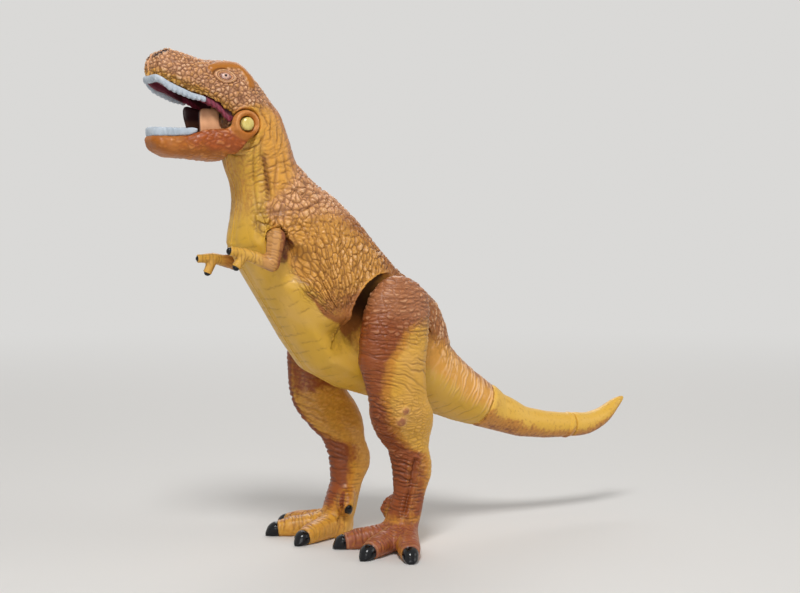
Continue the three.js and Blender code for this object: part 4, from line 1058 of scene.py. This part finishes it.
def leg_relief(points, normals, masks):
    z = points[:, 2]
    lx, front, outer, foot = (masks[name] for name in ("lx", "front", "outer", "foot"))
    lie = points[:, :2]
    slant = (0.20 * ramp(z, 60, 48) + 0.25 * ramp(z, 46, 38)) * (lx + 14)
    drift = 0.6 * noise(points, 5.0, 3) + 0.25 * noise(points, 1.8, 4)
    long_folds = folds(lie, z + slant + drift, 1.15, 4.5, 0.22, 2, wave=0.42, shown=-0.05)
    fine_folds = folds(lie, z + slant * 0.5 + drift, 0.7, 2.2, 0.17, 9, wave=0.4, shown=0.0)
    net, net_tone = hide_cells(wander(points, 2.5, 0.5, 4), (1.9, 2.4, 0.95), 5)
    netted = ramp(z, 46, 54)
    thigh = -0.20 * long_folds - 0.09 * fine_folds - 0.12 * netted * crease(net, 0.17)
    thigh += 0.09 * net_tone * ramp(net, 0.03, 0.3) * (0.4 + 0.6 * netted)
    over_knee = z + 0.45 * (lx + 14) + 0.5 * noise(points, 3.0, 6)
    knee_folds = folds(lie, over_knee, 1.25, 4.0, 0.27, 13, shown=-0.15)
    wrinkled, wrinkle_tone = hide_cells(wander(points, 2.0, 0.7, 3), (2.0, 2.0, 0.75), 14)
    knee = -0.28 * knee_folds * (0.2 + 0.8 * front) - 0.12 * crease(wrinkled, 0.15)
    knee += 0.07 * wrinkle_tone * ramp(wrinkled, 0.05, 0.3)
    down_shank = z + 0.1 * (lx + 10) + 0.3 * noise(points, 2.5, 7)
    rings = folds(lie, down_shank, 0.85, 2.8, 0.2, 17, wave=0.35, shown=-0.15)
    ankle_folds = folds(lie, z + 0.3 * (lx + 14), 1.3, 5.0, 0.28, 23, shown=-0.3)
    ankle_folds *= between(z, 15, 17, 21, 22.5)
    toe_lie = columns(masks["toe_turn"] * 9, z * 0.4)
    over_toe = masks["from_ankle"] + 0.35 * noise(points, 2.0, 8)
    toe_rings = folds(toe_lie, over_toe, 0.9, 2.4, 0.2, 29, wave=0.4, shown=-0.1) * ramp(z, 0.7, 2.0)
    depth = thigh * (1 - masks["knee"]) * (1 - masks["shank"]) + knee * masks["knee"]
    depth += -0.23 * rings * masks["shank"] * (1 - foot) - 0.19 * toe_rings * foot
    depth -= 0.26 * ankle_folds * (0.3 + 0.7 * front)
    dark = np.maximum.reduce([0.5 * long_folds, 0.22 * fine_folds, 0.4 * netted * crease(net, 0.15)])
    dark = dark * (1 - masks["knee"]) * (1 - masks["shank"])
    dark += np.maximum(0.6 * knee_folds * (0.2 + 0.8 * front), 0.3 * crease(wrinkled, 0.14)) * masks["knee"]
    dark += 0.75 * rings * masks["shank"] * (1 - foot) + 0.5 * toe_rings * foot
    dark = np.maximum(dark, 0.85 * ankle_folds * (0.3 + 0.7 * front))
    rear = ramp(normals[:, 0], 0.1, 0.6) * ramp(z, 44, 36)
    inner = ramp(outer, -0.15, -0.45) * (1 - 0.8 * front) * ramp(z, 44, 40)
    calm = (1 - 0.6 * rear) * (1 - 0.25 * inner) * (1 - 0.8 * masks["bump"])
    depth = depth * calm + 0.5 * masks["bump"]
    dark = dark * calm
    side_of = outer > 0.0
    depth += side_of * (0.22 * crease(masks["furrow"] - 1.1, 0.5) - 0.6 * crease(masks["furrow"], 0.55))
    dark = np.maximum(dark, 0.6 * side_of * crease(masks["furrow"], 0.4))
    claw = masks["claw"]
    skin = ramp(claw, -0.1, -0.9)
    depth *= skin
    depth += 0.12 * masks["cuff"] - 0.28 * crease(claw - 0.14, 0.2)
    flat_parts = (outer < -0.9) & (z > 44)
    depth *= ~flat_parts & (normals[:, 2] > -0.9)
    return depth, np.clip(dark * skin + 0.5 * crease(claw + 0.05, 0.14), 0, 1)


def leg_form(points, normals, side):
    """The hock pushed back a little, and the rear toe shortened to a stub behind its claw."""
    moved = points.copy()
    z = points[:, 2]
    hock = crease(z - 19.5, 5.5) + 0.4 * crease(z - 29, 4.0)
    moved[:, 0] += HOCK_PUSH[side] * hock * ramp(normals[:, 0], -0.1, 0.7)
    along, across, way = hallux_places(points, side)
    beyond = np.maximum(along - HALLUX_END - 0.2, 0) * (across < 2.4) * (z > 0.6)
    moved -= (0.85 * beyond)[:, None] * way
    inward = ramp(-normals[:, 1] * OUTWARD[side], -0.2, 0.5)
    swell = between(along, -2.5, 1.0, 3.0, 5.0) * ramp(across, 3.2, 1.8) * inward
    return moved + (1.3 * swell)[:, None] * np.array([-0.5, -OUTWARD[side] * 0.85, 0])


# %% Paint of a leg
BAND_EDGE = [(5, -4.0), (15, -5.6), (21, -4.9), (23, -5.2), (24.6, -9.4), (26.5, -12.0), (29, -14.6),
             (32, -16.3), (35, -17.6), (37, -18.6), (46.5, -19.3), (54, -13.8), (59, -6.0), (70, 2.0)]
TOE_PAINT = {"left": 1.0, "right": 0.4}


def leg_coats(points, masks, depth, side):
    z = points[:, 2]
    lx, outer, front, foot = (masks[name] for name in ("lx", "outer", "front", "foot"))
    painted = TOE_PAINT[side]
    cloud = noise(points, 6.0, 31) * 1.2 + noise(points, 2.0, 32) * 0.6
    inner = ramp(outer, 0.0, -0.5)
    edge = follow(BAND_EDGE, z)
    edge -= inner * (2.7 + 4.5 * ramp(z, 15, 7) + 1.6 * ramp(z, 24, 28))
    band = ramp(lx + cloud * 0.7 - edge, 1.5, -1.5)
    band = np.maximum(band, ramp(z + cloud, 57, 62))
    # On the inner side the top of the thigh is browned as painted shade under the belly.
    band = np.maximum(band, inner * ramp(z + cloud, 35.5, 38.5) * 0.85)
    top = ramp(z + cloud * 1.5 + 0.3 * (lx + 14), 51, 60)
    thigh = ramp(z, 31, 36)
    brown = band * (0.9 + 0.1 * ramp(z, 26, 20)) * (1 - foot) * ramp(z, 4.5, 10.5)
    ankle_front = between(z, 17.5, 20, 22.5, 25) * ramp(lx, -4.0, -7.0)
    brown = np.maximum(brown, ankle_front * (1 - 0.4 * inner))
    brown = np.maximum(brown, 0.7 * ramp(masks["bump"], 0.2, 0.9))
    behind = ramp(np.abs(masks["furrow"] - 1.6), 1.6, 0.4) * ramp(z, 23, 20) * (lx > -9.5) * (outer > 0)
    brown *= 1 - 0.35 * behind
    toes = foot * ramp(0.8 * outer + 0.5 * front + cloud * 0.15, -0.1, 0.6)
    toes = np.maximum(toes, foot * ramp(masks["up"], 0.2, 0.7) * (1 - 0.8 * inner))
    brown = np.maximum(brown, toes * painted * 0.55)
    tinted = 0.9 * toes * (0.4 + 0.6 * painted)
    past_edge = lx + cloud - edge
    warm = np.maximum.reduce([ramp(past_edge, 4.0, 0.0) * thigh, tinted, ramp(past_edge, 3.0, 0.0),
                              0.5 * inner * (1 - foot) * ramp(z, 6, 12)])
    warm *= 1 - 0.9 * (1 - painted) * foot
    rear_toe = ramp(masks["rear_toe"], 0.2, 0.8)
    brown = np.maximum(brown, 0.7 * rear_toe * painted)
    red = np.maximum(toes * painted * 0.6, 0.2 * masks["bump"]) + 0.35 * rear_toe * painted
    toe_blush = toes * 0.6 * ramp(masks["from_ankle"], 5, 9) * (1 - 0.6 * painted)
    blush = np.maximum(top * 0.85, toe_blush)
    # The light coat is a painted highlight on raised parts, most on the thigh's top and the toes.
    light = 0.26 * np.maximum(top, toes) * ramp(depth, 0.02, 0.08) + 0.16 * ramp(depth, 0.0, 0.06)
    light = light * ramp(masks["furrow"], 1.2, 2.6) * (1 - 0.7 * masks["cuff"])
    return shares(dict(light=light, warm=warm, brown=brown, blush=blush, red=red))


# %% Legs
LEG_VOXEL_MM = 0.36


def leg_amount(points):
    """Less relaxing towards the foot, whose forms are smaller."""
    return 0.25 + 0.75 * ramp(points[:, 2], 12, 34)


def foot_amount(points):
    """Where valleys between the toes are filled softly."""
    return between(points[:, 2], 0.4, 1.6, 12, 20)


def leg_faces(middles, normals):
    """Everything below the knee, and the outer half of the thigh."""
    outward = normals[:, 1] * np.sign(middles[:, 1])
    return (middles[:, 2] > 0.3) & ((outward > 0.0) | (middles[:, 2] < 12) & (outward > -0.6))


def leg_piece(side):
    piece = clay_from(f"{side}_leg", f"{side}_leg_skin", LEG_VOXEL_MM)
    relax(piece, LEG_VOXEL_MM, 1.5, leg_amount)
    relax(piece, LEG_VOXEL_MM, 1.4, foot_amount, edges=False)
    refine(piece, leg_faces)
    points, normals = read_shape(piece)
    masks = leg_masks(points, normals, side)
    # deep carries painted shade in the folds, the furrow and round the claws.
    depth, deep = leg_relief(points, normals, masks)
    moved = leg_form(points + normals * depth[:, None], normals, side)
    moved[:, 2] = np.maximum(moved[:, 2], 0)
    write_points(piece, moved)
    keep_values(piece, deep=deep, claw=masks["claw"], **leg_coats(points, masks, depth, side))
    finish_piece(piece, f"leg_{side}", leg_paint, [f"{side}_leg"])


for side in SIDES:
    leg_piece(side)

# %% [markdown]
# ## Jaw, arms and tail
# The jaw's hide is shallow and its hinge lobes are nearly smooth. The arms are tiny, with soft creases
# and nails. The tail has fine rings.

# %% Lower jaw
def jaw_piece():
    piece, points, normals = soft_clay("lower_jaw", "lower_jaw_skin", voxel_mm=0.24, spread_mm=1.1)
    x, y, z = points.T
    lobe = np.hypot(x - JAW_PIN[0], z - JAW_PIN[1])
    smooth_part = ramp(lobe, 4.4, 3.1)
    outside = ramp(np.maximum(normals[:, 1] * np.sign(y), -normals[:, 2]), 0.1, 0.5)
    cells, tone = hide_cells(wander(points, 2.0, 0.6, 2), (1.9, 1.6, 1.05), 2)
    lie = columns(x, y)
    scratches = folds(lie, z + 0.45 * x, 1.1, 2.5, 0.2, 3)
    other_way = folds(lie, z - 0.5 * x, 1.3, 2.2, 0.2, 7, shown=0.05)
    shown_part = (0.45 + 0.55 * ramp(x, -67, -61)) * (1 - smooth_part)
    lines = np.maximum.reduce([scratches, other_way, 0.8 * crease(cells, 0.17)]) * shown_part
    bumps = 0.10 * tone * ramp(cells, 0.03, 0.35) * shown_part
    depth = (bumps - 0.14 * lines + 0.05 * noise(points, 1.1, 4) * (1 - smooth_part)) * outside
    wide = (np.abs(normals[:, 1]) > 0.7) & (np.abs(y) > 7)
    upper = ramp(z - JAW_PIN[1], -1.8, 0.2)
    rim = crease(lobe - 2.95, 0.4) * wide * upper
    depth += 0.14 * rim
    write_points(piece, points + normals * depth[:, None])
    cloud = noise(points, 5.0, 6) * 0.35 + noise(points, 1.6, 7) * 0.25
    warm = ramp(x, -67, -56) * between(z, 93.5, 97, 99, 101.5)
    warm = np.clip(warm + cloud, 0, 1) * (1 - smooth_part)
    # Blush on the lobe's upper rim is a painted highlight.
    blush = smooth_part * (0.15 + 0.6 * crease(lobe - 3.2, 0.7) * upper) + 0.4 * ramp(z, 96.0, 93.0)
    blush = np.clip(blush + 0.5 * crease(z - 100.4, 0.7), 0, 1)
    # The light coat is a painted highlight on raised cells and the lobe's rim, and deep is painted shade in
    # the lines.
    light = 0.3 * tone * ramp(depth, 0.0, 0.06) * outside + 0.25 * rim
    keep_values(piece, warm=warm, blush=blush, light=light, deep=0.45 * lines * outside)
    finish_piece(piece, "jaw", jaw_paint, ["lower_jaw"])


jaw_piece()

# %% Arms
FINGER_ANGLES = (100, 35)
WRISTS = {"left": (-50.67, 71.83, 0), "right": (-50.2, 70.5, 11)}
NAIL_START_MM = 3.75
FINGER_HALF_WIDTH = 1.4


def nail_distance(points, side):
    """Positive on the nails: how far past its finger's nail edge each point lies."""
    wrist_x, wrist_z, drop = WRISTS[side]
    x = points[:, 0] - wrist_x
    z = points[:, 2] - wrist_z
    best = np.full(len(points), -FAR)
    for degrees in FINGER_ANGLES:
        angle = math.radians(degrees - drop)
        along = x * -math.sin(angle) + z * -math.cos(angle)
        beside = np.abs(x * math.cos(angle) - z * math.sin(angle))
        best = np.maximum(best, np.where(beside < FINGER_HALF_WIDTH, along - NAIL_START_MM, -FAR))
    return best


def arm_piece(side):
    piece, points, normals = soft_clay(f"{side}_arm", f"{side}_arm_skin", voxel_mm=0.18, spread_mm=0.6)
    x, y, z = points.T
    claw = nail_distance(points, side)
    upper = ramp(x, -48.5, -46.0)
    tilted = z + 0.25 * x + 0.25 * noise(points, 1.5, 5)
    rings = folds(columns(x, y), tilted, 0.7, 1.6, 0.14, 3, wave=0.45, shown=-0.1) * upper
    cuffs = folds(columns(y, z), x, 0.8, 1.8, 0.14, 7) * (1 - upper)
    lines = np.maximum(rings, cuffs) * ramp(claw, -0.3, -1.0)
    depth = -0.11 * lines + 0.10 * crease(claw + 0.3, 0.25) - 0.12 * crease(claw - 0.1, 0.2)
    depth *= np.abs(y) > 9.2
    write_points(piece, points + normals * depth[:, None])
    brown = ramp(x, -46.0, -43.2) * ramp(normals[:, 0], -0.2, 0.6) * 0.75
    # The light coat is a painted highlight on the forward-facing side of the upper arm, and deep is painted
    # shade in the rings and cuffs.
    light = upper * ramp(normals[:, 0], 0.3, -0.4) * 0.14
    keep_values(piece, warm=0.25 + 0.7 * upper, brown=brown, light=light, deep=0.5 * lines, claw=claw)
    finish_piece(piece, f"arm_{side}", arm_paint, [f"{side}_arm"])


for side in SIDES:
    arm_piece(side)

# %% Tail
TAIL_ROOT = np.array([20.79, 0.0, 32.185])
TAIL_JOINT = np.array([51.057, 0.0, 24.464])
TAIL_TIP = np.array([70.0, 0.0, 30.0])
TIP_MIDDLE = [(60, 25.2), (64, 26.8), (66, 27.9), (67, 28.5), (68, 29.06), (69, 29.6), (70, 29.9)]


def draw_tip(points):
    """Draws the end of the tail out to a finer point and lifts it a little."""
    x = points[:, 0]
    middle = follow(TIP_MIDDLE, x)
    keep = 1 - 0.32 * ramp(x, 64, 69.8)
    moved = points.copy()
    moved[:, 1] *= keep
    moved[:, 2] = middle + (points[:, 2] - middle) * keep + 0.7 * ramp(x, 61, 69.8)
    return moved


def tail_piece(node, name, body, start, end):
    piece, points, normals = soft_clay(node, name, voxel_mm=0.3, spread_mm=1.3)
    length = np.linalg.norm(end - start)
    way = (end - start) / length
    along = (points - start) @ way
    wavy = along + 0.2 * noise(points, 3.0, 3)
    rings = folds(points[:, 1:], wavy, 0.85, 4.0, 0.2, 5, wave=0.3, shown=-0.1)
    skin = ramp(np.abs(normals @ way), 0.9, 0.75)
    underside = -normals[:, 2] + noise(points, 3.0, 7) * 0.3
    low_part = ramp(underside, -0.1, 0.5)
    depth = -0.08 * rings * skin * (0.5 + 0.5 * low_part)
    specks = ramp(noise(points, 0.6, 9), 0.45, 0.7) * low_part
    brown = ramp(underside, 0.25, 0.95) * (0.7 + 0.5 * noise(points, 0.9, 11))
    if node == "tail_tip":
        brown = np.maximum(brown, ramp(along, 17.0, 19.5) * 0.5)
    else:
        joint_ring = along - length
        depth += (0.22 * crease(joint_ring + 1.2, 0.45) - 0.22 * crease(joint_ring + 2.2, 0.3)) * skin
        depth += 0.75 * between(along, 0.6, 5.0, 8, 17) * ramp(normals[:, 2], 0.1, 0.9)
    moved = points + normals * depth[:, None]
    write_points(piece, draw_tip(moved) if node == "tail_tip" else moved)
    # deep is painted shade in the rings on the underside, plus the brown specks of the coarse spray.
    deep = np.clip(0.22 * rings * low_part + 0.6 * specks, 0, 1)
    warm = ramp(underside, -0.2, 0.5)
    keep_values(piece, warm=warm, brown=brown * 0.7, light=np.zeros(len(along)), deep=deep)
    finish_piece(piece, body, tail_paint, [node])


tail_piece("tail_mid", "tail_middle_skin", "tail_middle", TAIL_ROOT, TAIL_JOINT)
tail_piece("tail_tip", "tail_tip_skin", "tail_end", TAIL_JOINT, TAIL_TIP)

# %% [markdown]
# ## Mouth
# The palate is a dark maroon lining whose edge shows as a beaded gum behind the upper teeth. The mouth's
# floor is peach, with soft cheeks that slide up inside the palate. The teeth are grey-white strips with
# low cusps, seated against the lip and the jaw's rim.

# %% Plain moulded plastics
def moulded_plastic(name, colour, shade, roughness, relief_mm=0.04, edge=None):
    """Plastic in two close tones with a faintly lumpy skin, and a third colour where "edge" is kept."""
    material, tree = new_material(name)
    lumps = grain(tree, 0.6)
    tone = mixed(tree, stepped(tree, grain(tree, 3.0), 0.3, 0.7), linear(colour), linear(shade))
    if edge is not None:
        tone = mixed(tree, kept(tree, "edge"), tone, linear(edge))
    rough = stepped(tree, lumps, 0.3, 0.7, roughness - 0.05, roughness + 0.05)
    coated(tree, Base_Color=tone, Roughness=rough, Normal=raised(tree, lumps, 0.5, relief_mm))
    return material


# The lining's maroon is darkened nearly to black as painted shade in the open mouth, and its edge is the
# pinker gum.
lining = moulded_plastic("maroon moulded lining", 0x2E0A12, 0x46141E, 0.38, edge=0x8A3048)
# Peach flesh catches the light on the cheeks; its edge colour is painted shadow on what faces inwards.
flesh = moulded_plastic("peach moulded flesh", 0xE6AC80, 0xD4966A, 0.42, edge=0x2C0C10)
# Cool grey-white teeth stand out from the warm paint, with a bluer grey between them as painted shade.
enamel = moulded_plastic("grey-white tooth paint", 0xBAC3CC, 0xA6B2BE, 0.38, edge=0x8896A6)
# The pins are a smooth, shinier cream, and the pivots a dull dark plastic that nobody sees.
cream = moulded_plastic("cream pin plastic", 0xDCCB78, 0xCBB45E, 0.3, relief_mm=0.02)
pivot = moulded_plastic("dark pivot plastic", 0x4A4038, 0x3A322C, 0.5)
for node, material in {"jaw_pin": cream, "tail_tip_pin": cream, "left_hip_pivot": pivot,
                       "right_hip_pivot": pivot}.items():
    nodes[node].data.materials.clear()
    nodes[node].data.materials.append(material)


# %% Palate with its gum
def palate_piece():
    piece = clay_from("palate", "palate_lining", voxel_mm=0.24)
    points, normals = read_shape(piece)
    x, y, z = points.T
    over_rim = height_over(MOUTH_RIM, x, z)
    gum = ramp(over_rim, 0.9, 0.1) * ramp(x, -60.5, -59.0)
    beads = 0.5 + 0.5 * np.cos((x + 0.3 * z) * 2 * math.pi / 0.95)
    outer = ramp(normals[:, 1] * np.sign(y), 0.1, 0.5)
    moved = points.copy()
    moved[:, 1] += np.sign(y) * (gum * outer * (0.12 + 0.22 * beads))
    moved[:, 2] += gum * (0.25 - 0.15 * beads)
    moved[:, 0] -= 1.9 * ramp(x, -64.0, -67.0)
    write_points(piece, dip_lip(moved))
    # The front of the lining is painted redder, towards the gum colour, as painted light where the mouth
    # opens; each gum bead is pinker on its crown as a painted highlight.
    front = ramp(x, -60.0, -65.0) * 0.45
    keep_values(piece, edge=np.clip(np.maximum(gum * (0.45 + 0.55 * beads), front), 0, 1))
    finish_piece(piece, "torso", lining, ["palate"])


palate_piece()


# %% Floor of the mouth
def mouth_floor_piece():
    piece, points, normals = soft_clay("mouth_floor", "mouth_floor_flesh", voxel_mm=0.26, spread_mm=0.9,
                                       edges=False)
    x, y, z = points.T
    cheek = ramp(z, 97.5, 99.0)
    moved = points.copy()
    moved[:, 0] += cheek * (0.7 + 1.3 * ramp(z, 101.0, 99.0)) * ramp(x, -58.5, -55.0)
    front_part = ramp(x, -56.0, -58.5) * cheek
    far = (y > 0) * front_part
    moved[:, 0] -= far * (0.4 + 1.0 * ramp(z, 100.0, 104.0))
    moved[:, 2] += far * 0.9 * ramp(z, 102.5, 104.5)
    moved[:, 1] += np.sign(y) * cheek * 0.35 * ramp(z, 103.5, 100.5)
    write_points(piece, moved)
    # The edge mask is painted shadow on the inward faces, the front edges and the upper cheeks.
    inner = ramp(-normals[:, 1] * np.sign(y), 0.0, 0.5) * (np.abs(y) > 1.6)
    front_edge = ramp(-normals[:, 0], 0.5, 0.9)
    shaded = 0.9 * np.maximum(inner, front_edge) + 0.5 * ramp(z, 101.5, 104.6)
    keep_values(piece, edge=np.clip(shaded * cheek, 0, 1))
    finish_piece(piece, "jaw", flesh, ["mouth_floor"])


mouth_floor_piece()


# %% Teeth
TOOTH_PITCH_MM = 1.1
TOOTH_VOXEL_MM = 0.15
UPPER_TEETH_TALL = [(-69, 1.9), (-66, 1.75), (-64, 1.7), (-60, 1.35), (-58, 1.2)]
LOWER_TEETH_BOTTOM = [(-70, 99.0), (-66, 99.1), (-64, 99.26), (-62, 99.48)]
JAW_RIM = [(-73.2, 98.4), (-66.0, 98.5), (-62.0, 98.7), (-60.0, 99.45), (-58.0, 100.15), (-54.0, 100.45)]


def cusps(points, front_x):
    """1 on each tooth and 0 between two, along a U-shaped strip from the front middle backwards."""
    x, y, _ = points.T
    run = np.where(x > front_x, (x - front_x) + 2.5, np.abs(y))
    return np.abs(np.cos(run * math.pi / TOOTH_PITCH_MM))


def upper_teeth_piece():
    piece, points, _ = soft_clay("upper_teeth", "upper_tooth_strip", TOOTH_VOXEL_MM, 0.5, edges=False)
    x, y, z = points.T
    share = np.clip(-height_over(MOUTH_RIM, x, z) / follow(UPPER_TEETH_TALL, x), 0, 1.1)
    front = ramp(x, -66.5, -69.2)
    rear = ramp(x, -62.0, -59.0)
    top_rise = 0.55 + 0.50 * front + 0.35 * rear
    tip_rise = 0.45 + 0.90 * front + 0.40 * rear
    cusp = cusps(points, -67.5)
    tip = ramp(share, 0.45, 1.0)
    moved = points.copy()
    moved[:, 2] += top_rise * (1 - share) + tip_rise * share - 0.22 * tip * cusp
    moved[:, 1] += np.sign(y) * (0.08 - 0.10 * tip * (1 - cusp)) * ramp(np.abs(y), 0.5, 2)
    moved[:, 0] -= 0.12 * front * (1 - tip)
    write_points(piece, moved)
    # The edge colour between the teeth is painted shade.
    keep_values(piece, edge=np.clip(0.5 * tip * (1 - cusp), 0, 1))
    finish_piece(piece, "torso", enamel, ["upper_teeth"])


def lower_teeth_piece():
    piece, points, _ = soft_clay("lower_teeth", "lower_tooth_strip", TOOTH_VOXEL_MM, 0.4, edges=False)
    x, y, z = points.T
    moved = points.copy()
    moved[:, 0] += ramp(x, -65.0, -61.8) * 2.1
    bottom = follow(LOWER_TEETH_BOTTOM, x)
    base = ramp(z - bottom, 0.7, 0.05)
    cusp = cusps(points, -68.0)
    moved[:, 2] += base * (follow(JAW_RIM, moved[:, 0]) - 0.2 - bottom) + 0.12 * (1 - base) * cusp
    moved[:, 1] -= np.sign(y) * 0.10 * (1 - cusp) * ramp(np.abs(y), 0.5, 2)
    write_points(piece, moved)
    # The edge colour between the teeth is painted shade.
    keep_values(piece, edge=np.clip(0.6 * (1 - cusp) * base, 0, 1))
    finish_piece(piece, "jaw", enamel, ["lower_teeth"])


upper_teeth_piece()
lower_teeth_piece()

# %% [markdown]
# ## Floor and light
# The key is a large soft lamp above the camera's left. A weaker fill stands to the right, a low one on
# the left reaches under the belly, and one behind draws a rim on the back. A pale room is around; seen
# directly, the far floor fades into the room's tone.

# %% Floor
PALE = linear(0xE2E1DF)
FLOOR_SIZE = 8
FLOOR_FADE = (0.14, 0.75)
ROOM_SEEN = 0.92
ROOM_LIGHT = 0.33
bpy.ops.object.select_all(action="DESELECT")
bpy.ops.mesh.primitive_plane_add(size=FLOOR_SIZE, location=(0, 0, 0))
floor = bpy.context.object
floor.name = "floor"
floor_material, tree = new_material("pale matt floor")
matt = add_node(tree, "ShaderNodeBsdfPrincipled", Base_Color=linear(0xD9D7D4), Roughness=0.8)
glow = add_node(tree, "ShaderNodeEmission", Color=PALE, Strength=ROOM_SEEN)
place = add_node(tree, "ShaderNodeTexCoord").outputs["Object"]
away = add_node(tree, "ShaderNodeVectorMath", {"operation": "LENGTH"}, i0=place).outputs["Value"]
seen = add_node(tree, "ShaderNodeLightPath").outputs["Is Camera Ray"]
share = plus(tree, seen, stepped(tree, away, *FLOOR_FADE), "MULTIPLY")
blend = add_node(tree, "ShaderNodeMixShader", i0=share, i1=matt.outputs["BSDF"], i2=glow.outputs["Emission"])
add_node(tree, "ShaderNodeOutputMaterial", Surface=blend.outputs["Shader"])
floor.data.materials.append(floor_material)

# %% Lamps and room
# Each lamp has its name, its place, the height it is aimed at above the origin, its size and its watts.
LAMPS = [("key", (-0.35, -0.45, 0.75), 0.06, 0.22, 5.2), ("fill", (0.6, -0.5, 0.35), 0.06, 0.5, 1.3),
         ("low fill", (-0.45, -0.6, 0.12), 0.05, 0.4, 1.2), ("rim", (0.35, 0.6, 0.6), 0.06, 0.6, 2.4)]
for name, place, aim_height, size, watts in LAMPS:
    light = bpy.data.lights.new(name, "AREA")
    light.shape = "SQUARE"
    light.size = size
    light.energy = watts
    lamp = bpy.data.objects.new(name, light)
    bpy.context.scene.collection.objects.link(lamp)
    lamp.location = place
    way = Vector((0, 0, aim_height)) - Vector(place)
    lamp.rotation_euler = way.to_track_quat("-Z", "Y").to_euler()

world = bpy.data.worlds.new("room")
bpy.context.scene.world = world
world.use_nodes = True
room = world.node_tree
room.nodes.clear()
paths = add_node(room, "ShaderNodeLightPath")
direct = plus(room, paths.outputs["Is Camera Ray"], paths.outputs["Is Transmission Ray"], "MAXIMUM")
direct = plus(room, direct, paths.outputs["Is Glossy Ray"], "MAXIMUM")
strength = stepped(room, direct, 0.0, 1.0, ROOM_LIGHT, ROOM_SEEN)
background = add_node(room, "ShaderNodeBackground", Color=PALE, Strength=strength)
add_node(room, "ShaderNodeOutputWorld", Surface=background.outputs["Background"])
